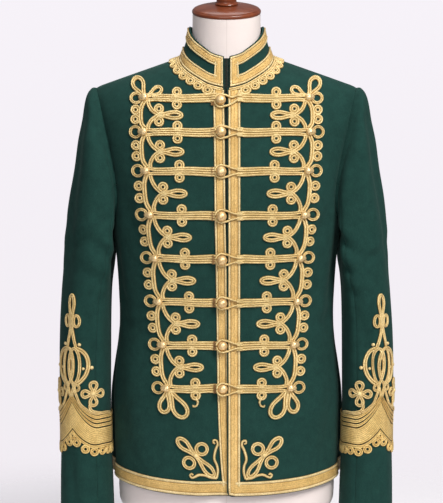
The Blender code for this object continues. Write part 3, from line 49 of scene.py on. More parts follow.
# Driving sizes of the cloth
HEM_Z = 0.190
CLOTH = 0.0020
SEAM = 0.0001
SLEEVE_SEAM = 0.0002
SQUARE = 2.4
SHOULDER_SQUARE = 2.2
UNDERARM = 0.405
SHOULDER_X = 0.2085
SHOULDER_RISE = 0.35
RIDGE_AT = (0.203, 0.632)
RIDGE_ROUND = 0.013
NECK_HALF = 0.0740
FRONT_DIP = 0.0125
BACK_DIP = 0.004

# Torso of the jacket: height over the hem, half width, depth in front, depth behind
TORSO = (
    (-0.020, 0.1828, 0.129, 0.138),
    (0.000, 0.1828, 0.128, 0.137),
    (0.080, 0.1846, 0.122, 0.134),
    (0.135, 0.1850, 0.117, 0.129),
    (0.180, 0.1806, 0.113, 0.122),
    (0.220, 0.1757, 0.111, 0.117),
    (0.270, 0.1738, 0.110, 0.113),
    (0.350, 0.1780, 0.119, 0.117),
    (0.405, 0.1850, 0.127, 0.122),
    (0.480, 0.1925, 0.132, 0.126),
    (0.560, 0.2080, 0.131, 0.124),
    (0.632, 0.2320, 0.129, 0.120),
    (0.720, 0.2600, 0.129, 0.118),
)

# Neckline: height over the hem at an angle round the neck from the front in degrees
NECK_FRONT = (
    (0.0, 0.6270),
    (21.4, 0.6337),
    (33.6, 0.6410),
    (48.6, 0.6500),
    (65.0, 0.6597),
    (80.0, 0.6697),
    (90.0, 0.6772),
)
# Behind, how far it reaches and how square it is
NECK_BACK = 0.0500
NECK_BACK_SQUARE = 2.2
# Y of the neck's middle
NECK_MIDDLE = -0.010

# Where a trim beside the neckline lies over the shoulder: from, to and blend, in degrees
OVER_SHOULDER = (46.0, 144.0, 8.0)

# Armhole edge: height over the hem, distance from the middle in front, and behind
ARMHOLE = (
    (0.405, 0.1850, 0.1850),
    (0.412, 0.1820, 0.1825),
    (0.425, 0.1775, 0.1790),
    (0.450, 0.1735, 0.1765),
    (0.480, 0.1755, 0.1790),
    (0.515, 0.1820, 0.1850),
    (0.545, 0.1885, 0.1910),
    (0.577, 0.1960, 0.1975),
    (0.608, 0.2030, 0.2035),
    (0.630, 0.2085, 0.2085),
)

# Fronts: the wearer's left lies over the right, which swings under it towards the hem
LEFT_EDGE = 0.0009
RIGHT_EDGE = 0.0030
TUCK_DEPTH = 0.0064
TUCK_TO_X = 0.050
TUCK_WIDTH = 0.038
TUCK_TO_HEIGHT = 0.420
TUCK_LENGTH = 0.210
# Swing of the right front: height over the hem, sideways shift
SWING = (
    (-0.020, 0.0185),
    (0.000, 0.0162),
    (0.052, 0.0110),
    (0.100, 0.0082),
    (0.156, 0.0062),
    (0.225, 0.0052),
    (0.290, 0.0044),
    (0.363, 0.0034),
    (0.431, 0.0020),
    (0.500, 0.0014),
    (0.560, 0.0008),
    (0.611, 0.0000),
    (0.700, 0.0000),
)

# Collar
COLLAR_HEIGHT = 0.0490
COLLAR_CLOTH = 0.0025
COLLAR_GAP_BASE = 0.0038
COLLAR_GAP_TOP = 0.0044
COLLAR_TOP_X = 0.806
COLLAR_TOP_Y = 0.866
COLLAR_TOP_BACK = 0.0012
COLLAR_HOLLOW = 0.0015
COLLAR_LEAD = 40.0

# Sleeve tube: height over the hem, outer side, inner side, half depth, middle in Y, bend round body
SLEEVE = (
    (0.634, 0.2100, 0.1960, 0.0640, 0.000, 0.020),
    (0.628, 0.2195, 0.1955, 0.0660, 0.000, 0.020),
    (0.608, 0.2272, 0.1945, 0.0690, -0.001, 0.021),
    (0.576, 0.2327, 0.1930, 0.0720, -0.002, 0.022),
    (0.544, 0.2395, 0.1915, 0.0740, -0.003, 0.024),
    (0.500, 0.2455, 0.1900, 0.0760, -0.005, 0.026),
    (0.446, 0.2550, 0.1885, 0.0770, -0.007, 0.027),
    (0.381, 0.2620, 0.1870, 0.0750, -0.009, 0.024),
    (0.340, 0.2640, 0.1870, 0.0730, -0.010, 0.018),
    (0.300, 0.2672, 0.1875, 0.0710, -0.011, 0.010),
    (0.250, 0.2700, 0.1880, 0.0670, -0.013, 0.006),
    (0.184, 0.2712, 0.1882, 0.0620, -0.018, 0.005),
    (0.140, 0.2704, 0.1882, 0.0585, -0.0225, 0.004),
    (0.100, 0.2690, 0.1882, 0.0560, -0.027, 0.004),
    (0.050, 0.2684, 0.1870, 0.0530, -0.032, 0.003),
    (0.000, 0.2690, 0.1844, 0.0510, -0.038, 0.003),
    (-0.066, 0.2690, 0.1820, 0.0490, -0.046, 0.003),
)
SLEEVE_SQUARE = 2.2
SLEEVE_LEAD = 0.004
# How much sooner the top of the sleeve's head reaches its full width
HEAD_PUFF = 0.36
SLEEVE_CREASE = 1.35
BACK_CREASE = 0.8
# Sleeve rings: step, height at the outer side, at the inner side, share of the way off the armhole
SLEEVE_RINGS = (
    (0, 0.6300, 0.405, 0.00),
    (1, 0.6286, 0.402, 0.30),
    (2, 0.6190, 0.396, 0.65),
    (3, 0.5980, 0.384, 0.90),
    (4, 0.5550, 0.363, 1.00),
    (5, 0.4950, 0.334, 1.00),
    (6, 0.4250, 0.297, 1.00),
    (7, 0.3550, 0.253, 1.00),
    (8, 0.2850, 0.207, 1.00),
    (9, 0.2150, 0.160, 1.00),
    (10, 0.1500, 0.113, 1.00),
    (11, 0.0850, 0.065, 1.00),
    (12, 0.0150, 0.008, 1.00),
    (13, -0.0660, -0.066, 1.00),
)

# Fineness of the cloth
LOWER_ROWS = 44
UPPER_ROWS = 40
NECK_COLUMNS = 14
SHOULDER_COLUMNS = 16
RINGS_A_STEP = 8
# The two sleeve seams, as columns counted from the shoulder round by the front
FRONT_SEAM_COLUMN = 25
BACK_SEAM_COLUMN = 55
# How the columns draw together towards the shoulder's end, behind the neck and towards the side
SHOULDER_CLOSING = 1.35
NECK_CLOSING = 1.3
FRONT_CLOSING = 1.35
# Front columns that stand upright beside the edge, as shares of their reach; the hem's first rows
UPRIGHT_X = 0.0305
UPRIGHT = (0.0, 0.07, 0.15, 0.25, 0.45, 0.70, 1.0)
HEM_SHARES = (0.0, 0.005, 0.011, 0.018, 0.030)
CORNER_ROUND = 0.0080
SEAM_SINK = 0.0015
SEAM_REACH = 0.0042
CLOTH_BEVEL = 0.0006

# Cut of each sheet: its flat box and its own area
TOP_SLEEVE_CUT = ((0.250, 0.710), 0.145)
UNDER_SLEEVE_CUT = ((0.150, 0.560), 0.063)

# Creases of the body: along the girth from the middle of the front, height, direction in degrees,
# half length, half width, rise
BODY_CREASES = (
    (0.058, 0.112, -38.0, 0.055, 0.0130, -0.0036),
    (-0.050, 0.122, 32.0, 0.042, 0.0120, -0.0026),
    (0.030, 0.080, -62.0, 0.040, 0.0140, -0.0018),
    (0.205, 0.325, 84.0, 0.085, 0.0140, -0.0036),
    (-0.212, 0.340, -80.0, 0.095, 0.0160, -0.0032),
    (0.190, 0.262, 16.0, 0.036, 0.0090, -0.0026),
    (-0.184, 0.252, -12.0, 0.040, 0.0100, -0.0028),
    (-0.196, 0.292, -26.0, 0.030, 0.0085, -0.0018),
    (0.165, 0.420, 62.0, 0.060, 0.0130, -0.0040),
    (-0.160, 0.432, -66.0, 0.052, 0.0120, -0.0036),
    (0.182, 0.105, 80.0, 0.085, 0.0180, -0.0032),
    (-0.190, 0.120, -78.0, 0.095, 0.0200, -0.0034),
    (0.271, 0.045, 90.0, 0.150, 0.0160, 0.0064),
    (-0.271, 0.048, -90.0, 0.152, 0.0160, 0.0064),
    (0.330, 0.120, 80.0, 0.110, 0.0220, -0.0040),
    (-0.325, 0.105, -82.0, 0.100, 0.0200, -0.0036),
    (0.385, 0.268, 6.0, 0.075, 0.0120, -0.0044),
    (-0.395, 0.250, -7.0, 0.085, 0.0140, -0.0040),
    (0.420, 0.222, -14.0, 0.050, 0.0095, -0.0028),
    (-0.345, 0.292, 18.0, 0.054, 0.0095, -0.0026),
    (0.445, 0.300, 24.0, 0.040, 0.0100, -0.0022),
    (0.360, 0.420, 70.0, 0.070, 0.0140, -0.0040),
    (-0.372, 0.440, -64.0, 0.060, 0.0130, -0.0044),
    (0.452, 0.500, 82.0, 0.060, 0.0160, -0.0024),
    (0.430, 0.080, 86.0, 0.085, 0.0240, 0.0040),
    (-0.440, 0.095, -88.0, 0.090, 0.0210, 0.0034),
    (-0.390, 0.070, 84.0, 0.070, 0.0180, -0.0030),
)
# A crease bows along its length. Swell beside it: share of the rise, place and width in half widths
CREASE_BOW = 0.35
CREASE_SWELL = (0.35, 1.9, 0.9)
# Where the body's creases fade: along the girth beyond the front edge, and below the shoulder
EDGE_CLEAR = 0.012
CREASE_TOP = 0.55
ARM_CLEAR = 0.035
# Where the back's deeper creases begin, along the girth
BACK_BEGINS = 0.28
# Creases of the sleeves: round the tube from its outer side by the front, then as above
LEFT_SLEEVE_CREASES = (
    (0.062, 0.500, 88.0, 0.150, 0.0160, 0.0034),
    (0.026, 0.440, 86.0, 0.170, 0.0120, -0.0030),
    (0.104, 0.378, 30.0, 0.036, 0.0090, -0.0052),
    (0.116, 0.340, 20.0, 0.034, 0.0080, -0.0044),
    (0.104, 0.302, 12.0, 0.028, 0.0080, -0.0026),
    (0.064, 0.356, -26.0, 0.036, 0.0095, -0.0028),
    (0.095, 0.560, 76.0, 0.060, 0.0110, -0.0036),
    (-0.050, 0.398, -24.0, 0.052, 0.0110, -0.0036),
    (-0.072, 0.336, 14.0, 0.046, 0.0095, -0.0038),
    (-0.040, 0.300, 30.0, 0.034, 0.0085, -0.0024),
    (-0.062, 0.525, 84.0, 0.110, 0.0160, -0.0036),
    (0.160, 0.400, 10.0, 0.040, 0.0090, -0.0034),
    (0.090, 0.220, 72.0, 0.070, 0.0130, -0.0034),
    (0.066, 0.010, 82.0, 0.046, 0.0120, -0.0024),
    (-0.072, 0.150, 78.0, 0.095, 0.0140, -0.0026),
    (-0.110, 0.470, 66.0, 0.070, 0.0120, -0.0030),
)
RIGHT_SLEEVE_CREASES = (
    (0.066, 0.480, -86.0, 0.160, 0.0160, 0.0034),
    (0.030, 0.450, -87.0, 0.150, 0.0130, -0.0030),
    (0.106, 0.366, -28.0, 0.034, 0.0085, -0.0050),
    (0.098, 0.326, -16.0, 0.032, 0.0085, -0.0040),
    (0.112, 0.292, -8.0, 0.026, 0.0075, -0.0024),
    (0.060, 0.386, 28.0, 0.036, 0.0095, -0.0030),
    (0.099, 0.545, -78.0, 0.052, 0.0100, -0.0034),
    (-0.055, 0.380, 20.0, 0.048, 0.0100, -0.0040),
    (-0.064, 0.344, -17.0, 0.042, 0.0090, -0.0030),
    (-0.046, 0.430, 34.0, 0.040, 0.0095, -0.0024),
    (-0.056, 0.505, -82.0, 0.120, 0.0160, -0.0038),
    (0.158, 0.390, -12.0, 0.036, 0.0090, -0.0034),
    (0.094, 0.236, -74.0, 0.062, 0.0130, -0.0032),
    (0.060, 0.004, -80.0, 0.044, 0.0120, -0.0026),
    (-0.076, 0.165, -80.0, 0.085, 0.0140, -0.0028),
    (-0.112, 0.455, -68.0, 0.064, 0.0120, -0.0032),
)

# Braid; a cord's section starts at the brink's share of its thickness
CORD_BRINK = 0.30
OFF_CLOTH = 0.0004
THICK = 0.0026
OVER_BAND = 0.0032
BAND_CLIMB = 0.0050
STRAND = 0.0032
STEP = 0.0022
LEFT_BAND = 0.0027
LEFT_BAND_WIDTH = 0.0188
RIGHT_BAND = 0.0036
RIGHT_BAND_WIDTH = 0.0170
HEM_BRAID = 0.0218
HEM_BRAID_UP = 0.0010
BAND_TOP = 0.6235
EYELET = 0.0083
EYELET_HOLE = 0.0017
CORD = 0.0074

# Frogs, top to bottom: height over the hem, end knob from the middle, eyelet pair from the middle
FROGS = (
    (0.6110, 0.1275, 0.0773),
    (0.5588, 0.1285, 0.0767),
    (0.4990, 0.1250, 0.0740),
    (0.4309, 0.1196, 0.0711),
    (0.3628, 0.1141, 0.0679),
    (0.2935, 0.1095, 0.0628),
    (0.2246, 0.1044, 0.0590),
    (0.1564, 0.0998, 0.0551),
)
BAR_INNER = 0.0148
BAR_OUTER = 0.0116
BAR_SLIT = 0.0165
BAR_SPLIT = 0.0010
BUTTON_X = 0.0086
BUTTON_R = 0.0080
BUTTON_HEIGHT = 0.0128
BUTTON_FOOT = 0.0040
BUTTON_UP = 0.0029
DOME_STEPS = 12
BUTTON_SWING = 0.45
TOP_BUTTON_DROP = 0.0046
BUTTON_LOOP = 0.0036
# The loop's cord: two points from the band's outer edge, two from the button, across and up
LOOP_START = ((0.0035, 0.0037), (-0.0040, 0.0033))
LOOP_NECK = ((0.0170, 0.0048), (0.0085, 0.0080))
LOOP_TURNS = (62.0, 90.0, 120.0, 150.0, 172.0)
BAR_EYELET_UP = 0.0096
# Whipping of the right bars: turns of thread, the first one's place, and their sizes
WHIP_TURNS = 6
WHIP_START = 0.0012
WHIP_PITCH = 0.0011
WHIP_HALF = 0.0070
WHIP_THREAD = 0.0010
WHIP_UP = 0.0016
# End knob: size, height of its axis over the cloth, and profile as radius and way along the axis
KNOB = 1.12
KNOB_UP = 0.0048
KNOB_PROFILE = (
    (0.0, -0.0064), (0.0024, -0.0063), (0.0040, -0.0054), (0.0052, -0.0032), (0.0055, -0.0006),
    (0.0052, 0.0014), (0.0046, 0.0023), (0.0047, 0.0030), (0.0041, 0.0050), (0.0029, 0.0066),
    (0.0015, 0.0076), (0.0, 0.0080),
)
# Ring outboard of each end knob: distance from the knob, radius, hole
TOP_RING = (0.0142, 0.0106, 0.0054)
FROG_RING = (0.0140, 0.0105, 0.0057)
# Between two frogs: the outer arc's eyelets as shares of the drop, the inner braids and their leaf
ARC_EYELETS = (0.345, 0.625)
ARC_EYELETS_OUT = 0.0146
ARC_BULGE = 0.0062
ARC_STOP = 0.0060
# Where the gimp begins below a frog, and how far in from the end knobs its braids lie
GIMP_DOWN = 0.0030
ARC_IN = 0.0005
INNER_IN = (0.0050, 0.0060)
INNER_BRAID = 0.0067
INNER_EYELET = 0.0083
INNER_EYELET_UP = 0.0097
NODE_IN = 0.0226
# Points of the inner braid from a frog's end: share of the way, share of the drop, how far in
INNER_STEPS = ((0.18, 0.20, 0.0065), (0.34, 0.36, 0.0118))
# Points of the outer arc between its ends: share of the way, share of the drop, share of the bulge
ARC_STEPS = ((0.25, 0.26, 0.82), (0.50, 0.50, 1.00), (0.75, 0.74, 0.80))
# Where the inner braids cross at their node: out and up
NODE_CROSSING = ((0.0035, 0.0022), (-0.0040, -0.0030))
LEAF_LENGTH = 0.0385
LEAF_HALF = 0.0080
# Loops above the top frog and below the lowest one, from the end knob:
# foot across, foot up, tip across, tip up, half width, cord
CROWN_LOOPS = (
    (0.0010, 0.0020, 0.0180, 0.0340, 0.0116, 0.0066),
    (-0.0040, 0.0030, -0.0280, 0.0165, 0.0082, 0.0056),
)
TAIL_LOOPS = (
    (-0.0010, -0.0030, 0.0078, -0.0410, 0.0114, 0.0068),
    (-0.0050, -0.0030, -0.0275, -0.0475, 0.0140, 0.0071),
)
# Curl under the lowest frog's eyelets: across, down
TAIL_CURL = (
    (0.0, 0.0140), (-0.0030, 0.0200), (-0.0010, 0.0262), (0.0040, 0.0278), (0.0046, 0.0250),
)

# Corner motif: its knot's middle from the edge and over the hem, then from the knot
CORNER = (0.0592, 0.0518)
# Petals: foot across, foot up, tip across, tip up, half width, cord
CORNER_PETALS = (
    (0.0006, 0.0006, 0.0285, 0.0275, 0.0096, 0.0066),
    (-0.0006, -0.0006, -0.0262, -0.0345, 0.0088, 0.0062),
)
# Round loops: across, up
CORNER_RINGS = ((-0.0098, 0.0104), (0.0116, -0.0114))
CORNER_RING = (0.0114, 0.0054)
CORNER_FOOT = (-0.0290, -0.0362)
# Tendrils from the foot of the lower petal, and the curl at each one's end
CORNER_TENDRILS = (
    ((0.0, 0.0), (-0.0030, 0.0100), (-0.0026, 0.0200), (0.0008, 0.0310), (-0.0022, 0.0440),
     (-0.0062, 0.0530), (-0.0050, 0.0590), (-0.0004, 0.0600), (0.0004, 0.0560), (-0.0024, 0.0548)),
    ((0.0, 0.0), (0.0090, 0.0012), (0.0180, 0.0050), (0.0270, 0.0060), (0.0340, 0.0028),
     (0.0385, 0.0014), (0.0410, 0.0050), (0.0382, 0.0076), (0.0360, 0.0056)),
)
TENDRIL = 0.0044

# Cuff: motif axis, chevron band, and the scallops below it
CUFF_AXIS_X = 0.2477
CUFF_GAUGE = 0.099
CUFF_TOP = 0.1010
CUFF_PEAK = 0.0390
CUFF_PEAK_REACH = 0.042
CUFF_PEAK_POWER = 1.65
CUFF_BELLY = (0.050, 0.026, 0.0036)
CUFF_UP = 0.0030
CUFF_FOOT = 0.0345
CUFF_NOTCH = 0.0250
CUFF_NOTCH_REACH = 0.036
CUFF_NOTCH_POWER = 1.5
SCALLOP_PITCH = 0.0133
SCALLOP_EYELET = 0.0074
SCALLOP_HOLE = 0.0019
# Eyelet in the band's point: share of the way down, radius, hole
POINT_EYELET = (0.850, 0.00592, 0.0012)
# Cords and braids of the band, top to bottom: shares of its height from its upper edge at the sides,
# then at the point, and thickness
CUFF_CORDS = (
    (0.000, 0.085, 0.000, 0.055, 0.0018),
    (0.108, 0.185, 0.065, 0.110, 0.0016),
    (0.208, 0.285, 0.120, 0.165, 0.0016),
    (0.310, 0.690, 0.180, 0.700, 0.0014),
    (0.712, 0.790, 0.722, 0.800, 0.0018),
)
CUFF_BRAID_ROW = 3
CUFF_EYELETS = (0.862, 0.900)
CUFF_NEAR = 0.040
# Cuff motif, one side of its axis. Loops: middle out, height, half width, half height, cord
CUFF_OVALS = (
    (0.0078, 0.2560, 0.0044, 0.0090, 0.0046),
    (0.0052, 0.1840, 0.0088, 0.0280, 0.0052),
    (0.0000, 0.1850, 0.0036, 0.0120, 0.0040),
    (0.0098, 0.1490, 0.0036, 0.0046, 0.0042),
)
# Strands: width, then out and height of each point
CUFF_STRANDS = (
    (0.0050, (0.0010, 0.2680), (0.0012, 0.2460), (0.0040, 0.2300), (0.0088, 0.2090)),
    (0.0046, (0.0080, 0.1580), (0.0044, 0.1490), (0.0026, 0.1420), (0.0020, 0.1340)),
    (0.0044, (0.0030, 0.1570), (0.0056, 0.1480), (0.0088, 0.1380)),
)
# How far out the last strand follows the band's upper edge, and how far above it
CUFF_EDGE_STOPS = (0.0145, 0.0215, 0.0300, 0.0400, 0.0500, 0.0600)
CUFF_EDGE_SHARE = -0.045
CUFF_ARC = ((0.0095, 0.2120), (0.0302, 0.2060), (0.0338, 0.1720), (0.0110, 0.1560))
CUFF_ARC_WIDTH = 0.0068
# Beads: out, height, radius
CUFF_BEADS = ((0.0128, 0.2185, 0.0026), (0.0322, 0.1815, 0.0028), (0.0192, 0.1800, 0.0022))
CUFF_TOP_LOOP = (0.2540, 0.3000, 0.0067, 0.0050)
# How far the motif leans away from the body towards its top
CUFF_LEAN = ((0.10, 0.0012), (0.20, 0.0006), (0.25, 0.0012), (0.30, 0.0046))
# Quatrefoil beside the point: middle out, height, petal length, half width, cord, heart
QUATREFOIL = (0.0352, 0.1395, 0.0215, 0.0080, 0.0056, 0.0034)
QUATREFOIL_TAIL = 0.0050
# Its tail, from the middle: out and down as a share of a petal; then out and share above the band
TAIL_STEPS = ((-0.0040, 0.62), (-0.0056, 0.98), (-0.0018, 1.28))
TAIL_STOPS = ((0.0110, -0.055), (0.0260, -0.045), (0.0460, -0.020))

# Neck and collar trims
NECK_CORD = 0.0062
NECK_CORD_OUT = 0.0043
NECK_EYELET = 0.0080
NECK_EYELET_HOLE = 0.0014
NECK_EYELET_OUT = 0.0112
NECK_EYELET_START = 0.0262
NECK_EYELET_PITCH = 0.0148
COLLAR_BRAID = 0.0160
COLLAR_BRAID_IN = 0.0017
COLLAR_BRAID_FOOT = 0.0006

# Dress form under the cloth: height over the hem, half width, depth in front, depth behind
FORM = (
    (-0.080, 0.1240, 0.080, 0.092),
    (-0.070, 0.1530, 0.097, 0.111),
    (-0.0535, 0.1680, 0.107, 0.123),
    (-0.040, 0.1755, 0.113, 0.129),
    (0.020, 0.1760, 0.112, 0.130),
    (0.150, 0.1720, 0.101, 0.118),
    (0.260, 0.1660, 0.096, 0.105),
    (0.350, 0.1710, 0.105, 0.109),
    (0.405, 0.1760, 0.113, 0.113),
    (0.480, 0.1800, 0.118, 0.117),
    (0.560, 0.1840, 0.119, 0.115),
    (0.720, 0.1860, 0.120, 0.112),
)
FORM_RIDGE_DROP = 0.0029
# Rounding of the shoulder's end: from, reach and fall
FORM_SHOULDER_END = (0.110, 0.076, 0.040)
FORM_SHOULDER_HEIGHT = 0.600
FORM_SHOULDER_IN = 0.004
# Neck of the form: step, height at the side, in front, behind, half width, front, back
FORM_NECK = (
    (0, 0.6745, 0.6440, 0.6720, 0.0670, -0.0700, 0.0440),
    (1, 0.6870, 0.6690, 0.6890, 0.0580, -0.0660, 0.0390),
    (2, 0.7120, 0.7000, 0.7190, 0.0548, -0.0680, 0.0365),
    (3, 0.7460, 0.7330, 0.7590, 0.0540, -0.0730, 0.0345),
)
FORM_QUARTER_NECK = 8
FORM_QUARTER_SHOULDER = 8
FORM_UPPER_ROWS = 30
FORM_NECK_ROWS = 10

# Stand
JOINT_GAP = 0.0003
CAP_R = 0.0543
FINIAL_R = 0.0175
POLE_R = 0.015
BASE_R = 0.160
BASE_H = 0.020
# Profiles, as shares of the radius and way along the axis
CAP = (
    (0.0, 0.0), (0.985, 0.0), (1.004, 0.0006), (1.011, 0.0020), (1.011, 0.0036), (1.002, 0.0048),
    (0.984, 0.0056), (0.968, 0.0060), (0.972, 0.0066), (0.955, 0.0074), (0.91, 0.0085),
    (0.84, 0.0098), (0.74, 0.0111), (0.60, 0.0123), (0.45, 0.0131), (0.30, 0.0137), (0.15, 0.0141),
    (0.0, 0.0142),
)
FINIAL = (
    (0.0, 0.0), (1.04, 0.0), (1.06, 0.0012), (1.02, 0.0026), (0.93, 0.0034), (0.90, 0.0050),
    (0.93, 0.0080), (0.99, 0.0140), (1.02, 0.0200), (1.01, 0.0250), (0.96, 0.0290), (0.86, 0.0325),
    (0.70, 0.0350), (0.48, 0.0364), (0.22, 0.0370), (0.0, 0.0370),
)
BASE = (
    (0.0, 0.0), (0.955, 0.0), (0.978, 0.0006), (0.992, 0.0018), (1.0, 0.0036), (1.0, 0.0105),
    (0.994, 0.0128), (0.984, 0.0136), (0.974, 0.0140), (0.970, 0.0150), (0.966, 0.0172),
    (0.952, 0.0188), (0.930, 0.0196), (0.890, 0.0200), (0.45, 0.0200), (0.20, 0.0200), (0.0, 0.0200),
)
# Pole: radius and height over its foot, then radius and distance below its head
POLE_FOOT = [
    (0.0, 0.0), (0.0215, 0.0), (0.0225, 0.0012), (0.0220, 0.0046), (0.0196, 0.0062),
    (0.0172, 0.0070), (0.0152, 0.0078), (POLE_R, 0.0090),
]
POLE_HEAD = (
    (POLE_R, 0.010), (0.0168, 0.009), (0.0172, 0.006), (0.0172, 0.0008), (0.0166, 0.0), (0.0, 0.0),
)

# Zip
ZIP_HALF = 0.0105
ZIP_GAP = 0.0005
ZIP_THICK = 0.0012
ZIP_FOOT = 0.060
TOOTH_PITCH = 0.0026
# A tooth's sections: across, half its width, height; and how deep it sits in the tape
TOOTH = ((-0.0008, 0.0008, 0.00095), (0.0022, 0.0008, 0.00095), (0.0030, 0.0004, 0.000825))
TOOTH_SINK = -0.0004

# Threads of the linen and the zip's tape, in radians a metre
LINEN_WEAVE = 5200.0
ZIP_TWILL = 4800.0

# The photograph's frame and the camera's place in it
IMAGE = (443, 503)
FOCAL_PIXELS = 1667.0
SHIFT_PIXELS = -5.0
CAMERA_BACK = 2.7
CAMERA_UP = 0.632
CAMERA_TILT = 5.7
SENSOR = 36.0

# Sky: its colours low down and high up, and how much of it lights the scene
SKY = ((0.0, (0.880, 0.840, 0.885)), (1.0, (0.930, 0.892, 0.945)))
SKY_LIGHT = 0.20
FLOOR = (0.86, 0.845, 0.87, 1.0)
# Distances between which the floor fades
FLOOR_FADE = (0.35, 1.10)


# Reading tables


def read(table, key, column):
    """A value from a table whose first column rises, on a smooth curve through its rows."""
    if key <= table[0][0]:
        return table[0][column]
    if key >= table[-1][0]:
        return table[-1][column]
    i = next(k for k in range(len(table) - 1) if key <= table[k + 1][0])
    low, high = table[i], table[i + 1]
    before, after = table[max(i - 1, 0)], table[min(i + 2, len(table) - 1)]
    step = high[0] - low[0]
    f = (key - low[0]) / step
    rise_low = (high[column] - before[column]) / (high[0] - before[0]) * step
    rise_high = (after[column] - low[column]) / (after[0] - low[0]) * step
    return (
        (2 * f**3 - 3 * f**2 + 1) * low[column]
        + (f**3 - 2 * f**2 + f) * rise_low
        + (3 * f**2 - 2 * f**3) * high[column]
        + (f**3 - f**2) * rise_high
    )


def sampled(table, column, count=1200):
    """Closely spaced samples of the smooth curve through one column of a table."""
    keys = np.linspace(table[0][0], table[-1][0], count)
    return keys, np.array([read(table, key, column) for key in keys])


def at(samples, key):
    return np.interp(key, samples[0], samples[1])


HALF = sampled(TORSO, 1)
DEEP = {-1: sampled(TORSO, 2), 1: sampled(TORSO, 3)}
SHIFT = sampled(SWING, 1)
TUBE = [sampled(tuple(sorted(SLEEVE)), column) for column in range(1, 6)]
RING = [sampled(SLEEVE_RINGS, column) for column in range(1, 4)]
HOLE = {-1: sampled(ARMHOLE, 1), 1: sampled(ARMHOLE, 2)}


def smooth(f):
    f = np.clip(f, 0.0, 1.0)
    return f * f * (3 - 2 * f)


def signed_power(value, exponent):
    return np.sign(value) * np.abs(value) ** exponent


def unit(vectors):
    size = np.linalg.norm(vectors, axis=-1, keepdims=True)
    return vectors / np.maximum(size, 1e-12)


def spot(x, y, z):
    """Points from their coordinates, as an array with three columns."""
    return np.stack(np.broadcast_arrays(x, y, z), axis=-1).astype(float)


def columns_of(a, b):
    return np.stack((a, b), axis=-1)


def each(value, count):
    """A value for each of some places, from one value or a row of them."""
    return np.broadcast_to(np.asarray(value, dtype=float), (count,))


def circle(count):
    return 2 * math.pi * np.arange(count) / count


def closing(share, square):
    """The other side of a rounded square of size 1, where one side has a share."""
    return (1 - share**square) ** (1 / square)


def run_of(points):
    """Length along a row of points, up to each of them."""
    steps = np.linalg.norm(np.diff(points, axis=0), axis=1)
    return np.concatenate(([0.0], np.cumsum(steps)))


def near_seam(points, seam):
    """1 at a seam's points, falling to 0 over the reach of the seam's dip."""
    return np.exp(-((np.linalg.norm(points - seam, axis=-1) / SEAM_REACH) ** 2))


# Creases


def relief(table, across, height, around=None):
    """How far the creases of a table raise the cloth at a place on it."""
    total = np.zeros(np.broadcast(across, height).shape)
    share, beside, wide = CREASE_SWELL
    for middle, level, direction, length, width, rise in table:
        away = across - middle
        if around:
            away = (away + around / 2) % around - around / 2
        c, s = math.cos(math.radians(direction)), math.sin(math.radians(direction))
        along = (away * c + (height - level) * s) / length
        side = (-away * s + (height - level) * c) / width
        bow = side - CREASE_BOW * along * along
        swell = share * np.exp(-(((bow - beside) / wide) ** 2))
        total = total + rise * np.exp(-along * along) * (np.exp(-bow * bow) - swell)
    return total


# Surface of the torso


def ridge(x):
    """Height of the shoulder line over the hem."""
    return RIDGE_AT[1] + (RIDGE_AT[0] - np.hypot(x, RIDGE_ROUND)) * SHOULDER_RISE


def arch(x, height):
    """How much of its depth the body keeps as it closes towards the shoulder line."""
    f = np.clip((height - UNDERARM) / (ridge(x) - UNDERARM), 0.0, 1.0)
    return closing(f, SHOULDER_SQUARE)


def across_at(angle, height):
    """X at an angle round the body from the middle of the front."""
    return at(HALF, height) * signed_power(np.sin(angle), 2 / SQUARE)


def deep_at(way, height):
    """Full depth of the body where way is negative in front and positive behind."""
    return np.where(way < 0, at(DEEP[-1], height), at(DEEP[1], height))


def depth(x, height, face):
    """Y of the jacket's outside, face -1 in front and 1 behind."""
    across = np.minimum(np.abs(x) / at(HALF, height), 1.0)
    return face * at(DEEP[face], height) * closing(across, SQUARE) * arch(x, height)


def tuck(x, height):
    """How deep the right front lies under the left one, x from the middle to its own side."""
    across = smooth((TUCK_TO_X - x) / TUCK_WIDTH)
    return TUCK_DEPTH * across * smooth((TUCK_TO_HEIGHT - height) / TUCK_LENGTH)


def angle_at(x, height):
    return np.arcsin(signed_power(np.clip(x / at(HALF, height), -1.0, 1.0), SQUARE / 2))


def hem_height(angle):
    dip = np.where(np.cos(angle) > 0, FRONT_DIP, BACK_DIP)
    return -dip * np.cos(angle) ** 2


def smooth_round(side, angle, height):
    """A point at an angle round the body from the middle of the front, before the creases."""
    x = across_at(angle, height)
    front = np.cos(angle) > 0
    full = np.where(front, -at(DEEP[-1], height), at(DEEP[1], height))
    y = full * np.abs(np.cos(angle)) ** (2 / SQUARE) * arch(x, height)
    if side < 0:
        y = y + np.where(front, tuck(x, height), 0.0)
    return spot(side * x, y, HEM_Z + height)


GIRTH_HEIGHT = 0.03
GIRTH_ANGLES = np.linspace(0.0, math.pi, 721)
GIRTH_POINTS = smooth_round(1, GIRTH_ANGLES, np.full(len(GIRTH_ANGLES), GIRTH_HEIGHT))
GIRTH = run_of(GIRTH_POINTS)


def body_relief(side, angle, height):
    """The creases of the body, faded out towards the armholes, the shoulders and the front edges."""
    across = side * np.sign(angle) * np.interp(np.abs(angle), GIRTH_ANGLES, GIRTH)
    raised = relief(BODY_CREASES, across, height, 2 * GIRTH[-1])
    raised = raised * (1 + BACK_CREASE * smooth((np.abs(across) - BACK_BEGINS) / 0.03))
    near_arm = smooth((at(HOLE[-1], height) - np.abs(across_at(angle, height))) / ARM_CLEAR)
    upper = smooth((height - UNDERARM + 0.02) / 0.05)
    raised = raised * (1 - upper * (1 - near_arm))
    faded = raised * (1 - smooth((height - CREASE_TOP) / 0.05))
    return faded * smooth((np.abs(across) - EDGE_CLEAR) / 0.03)


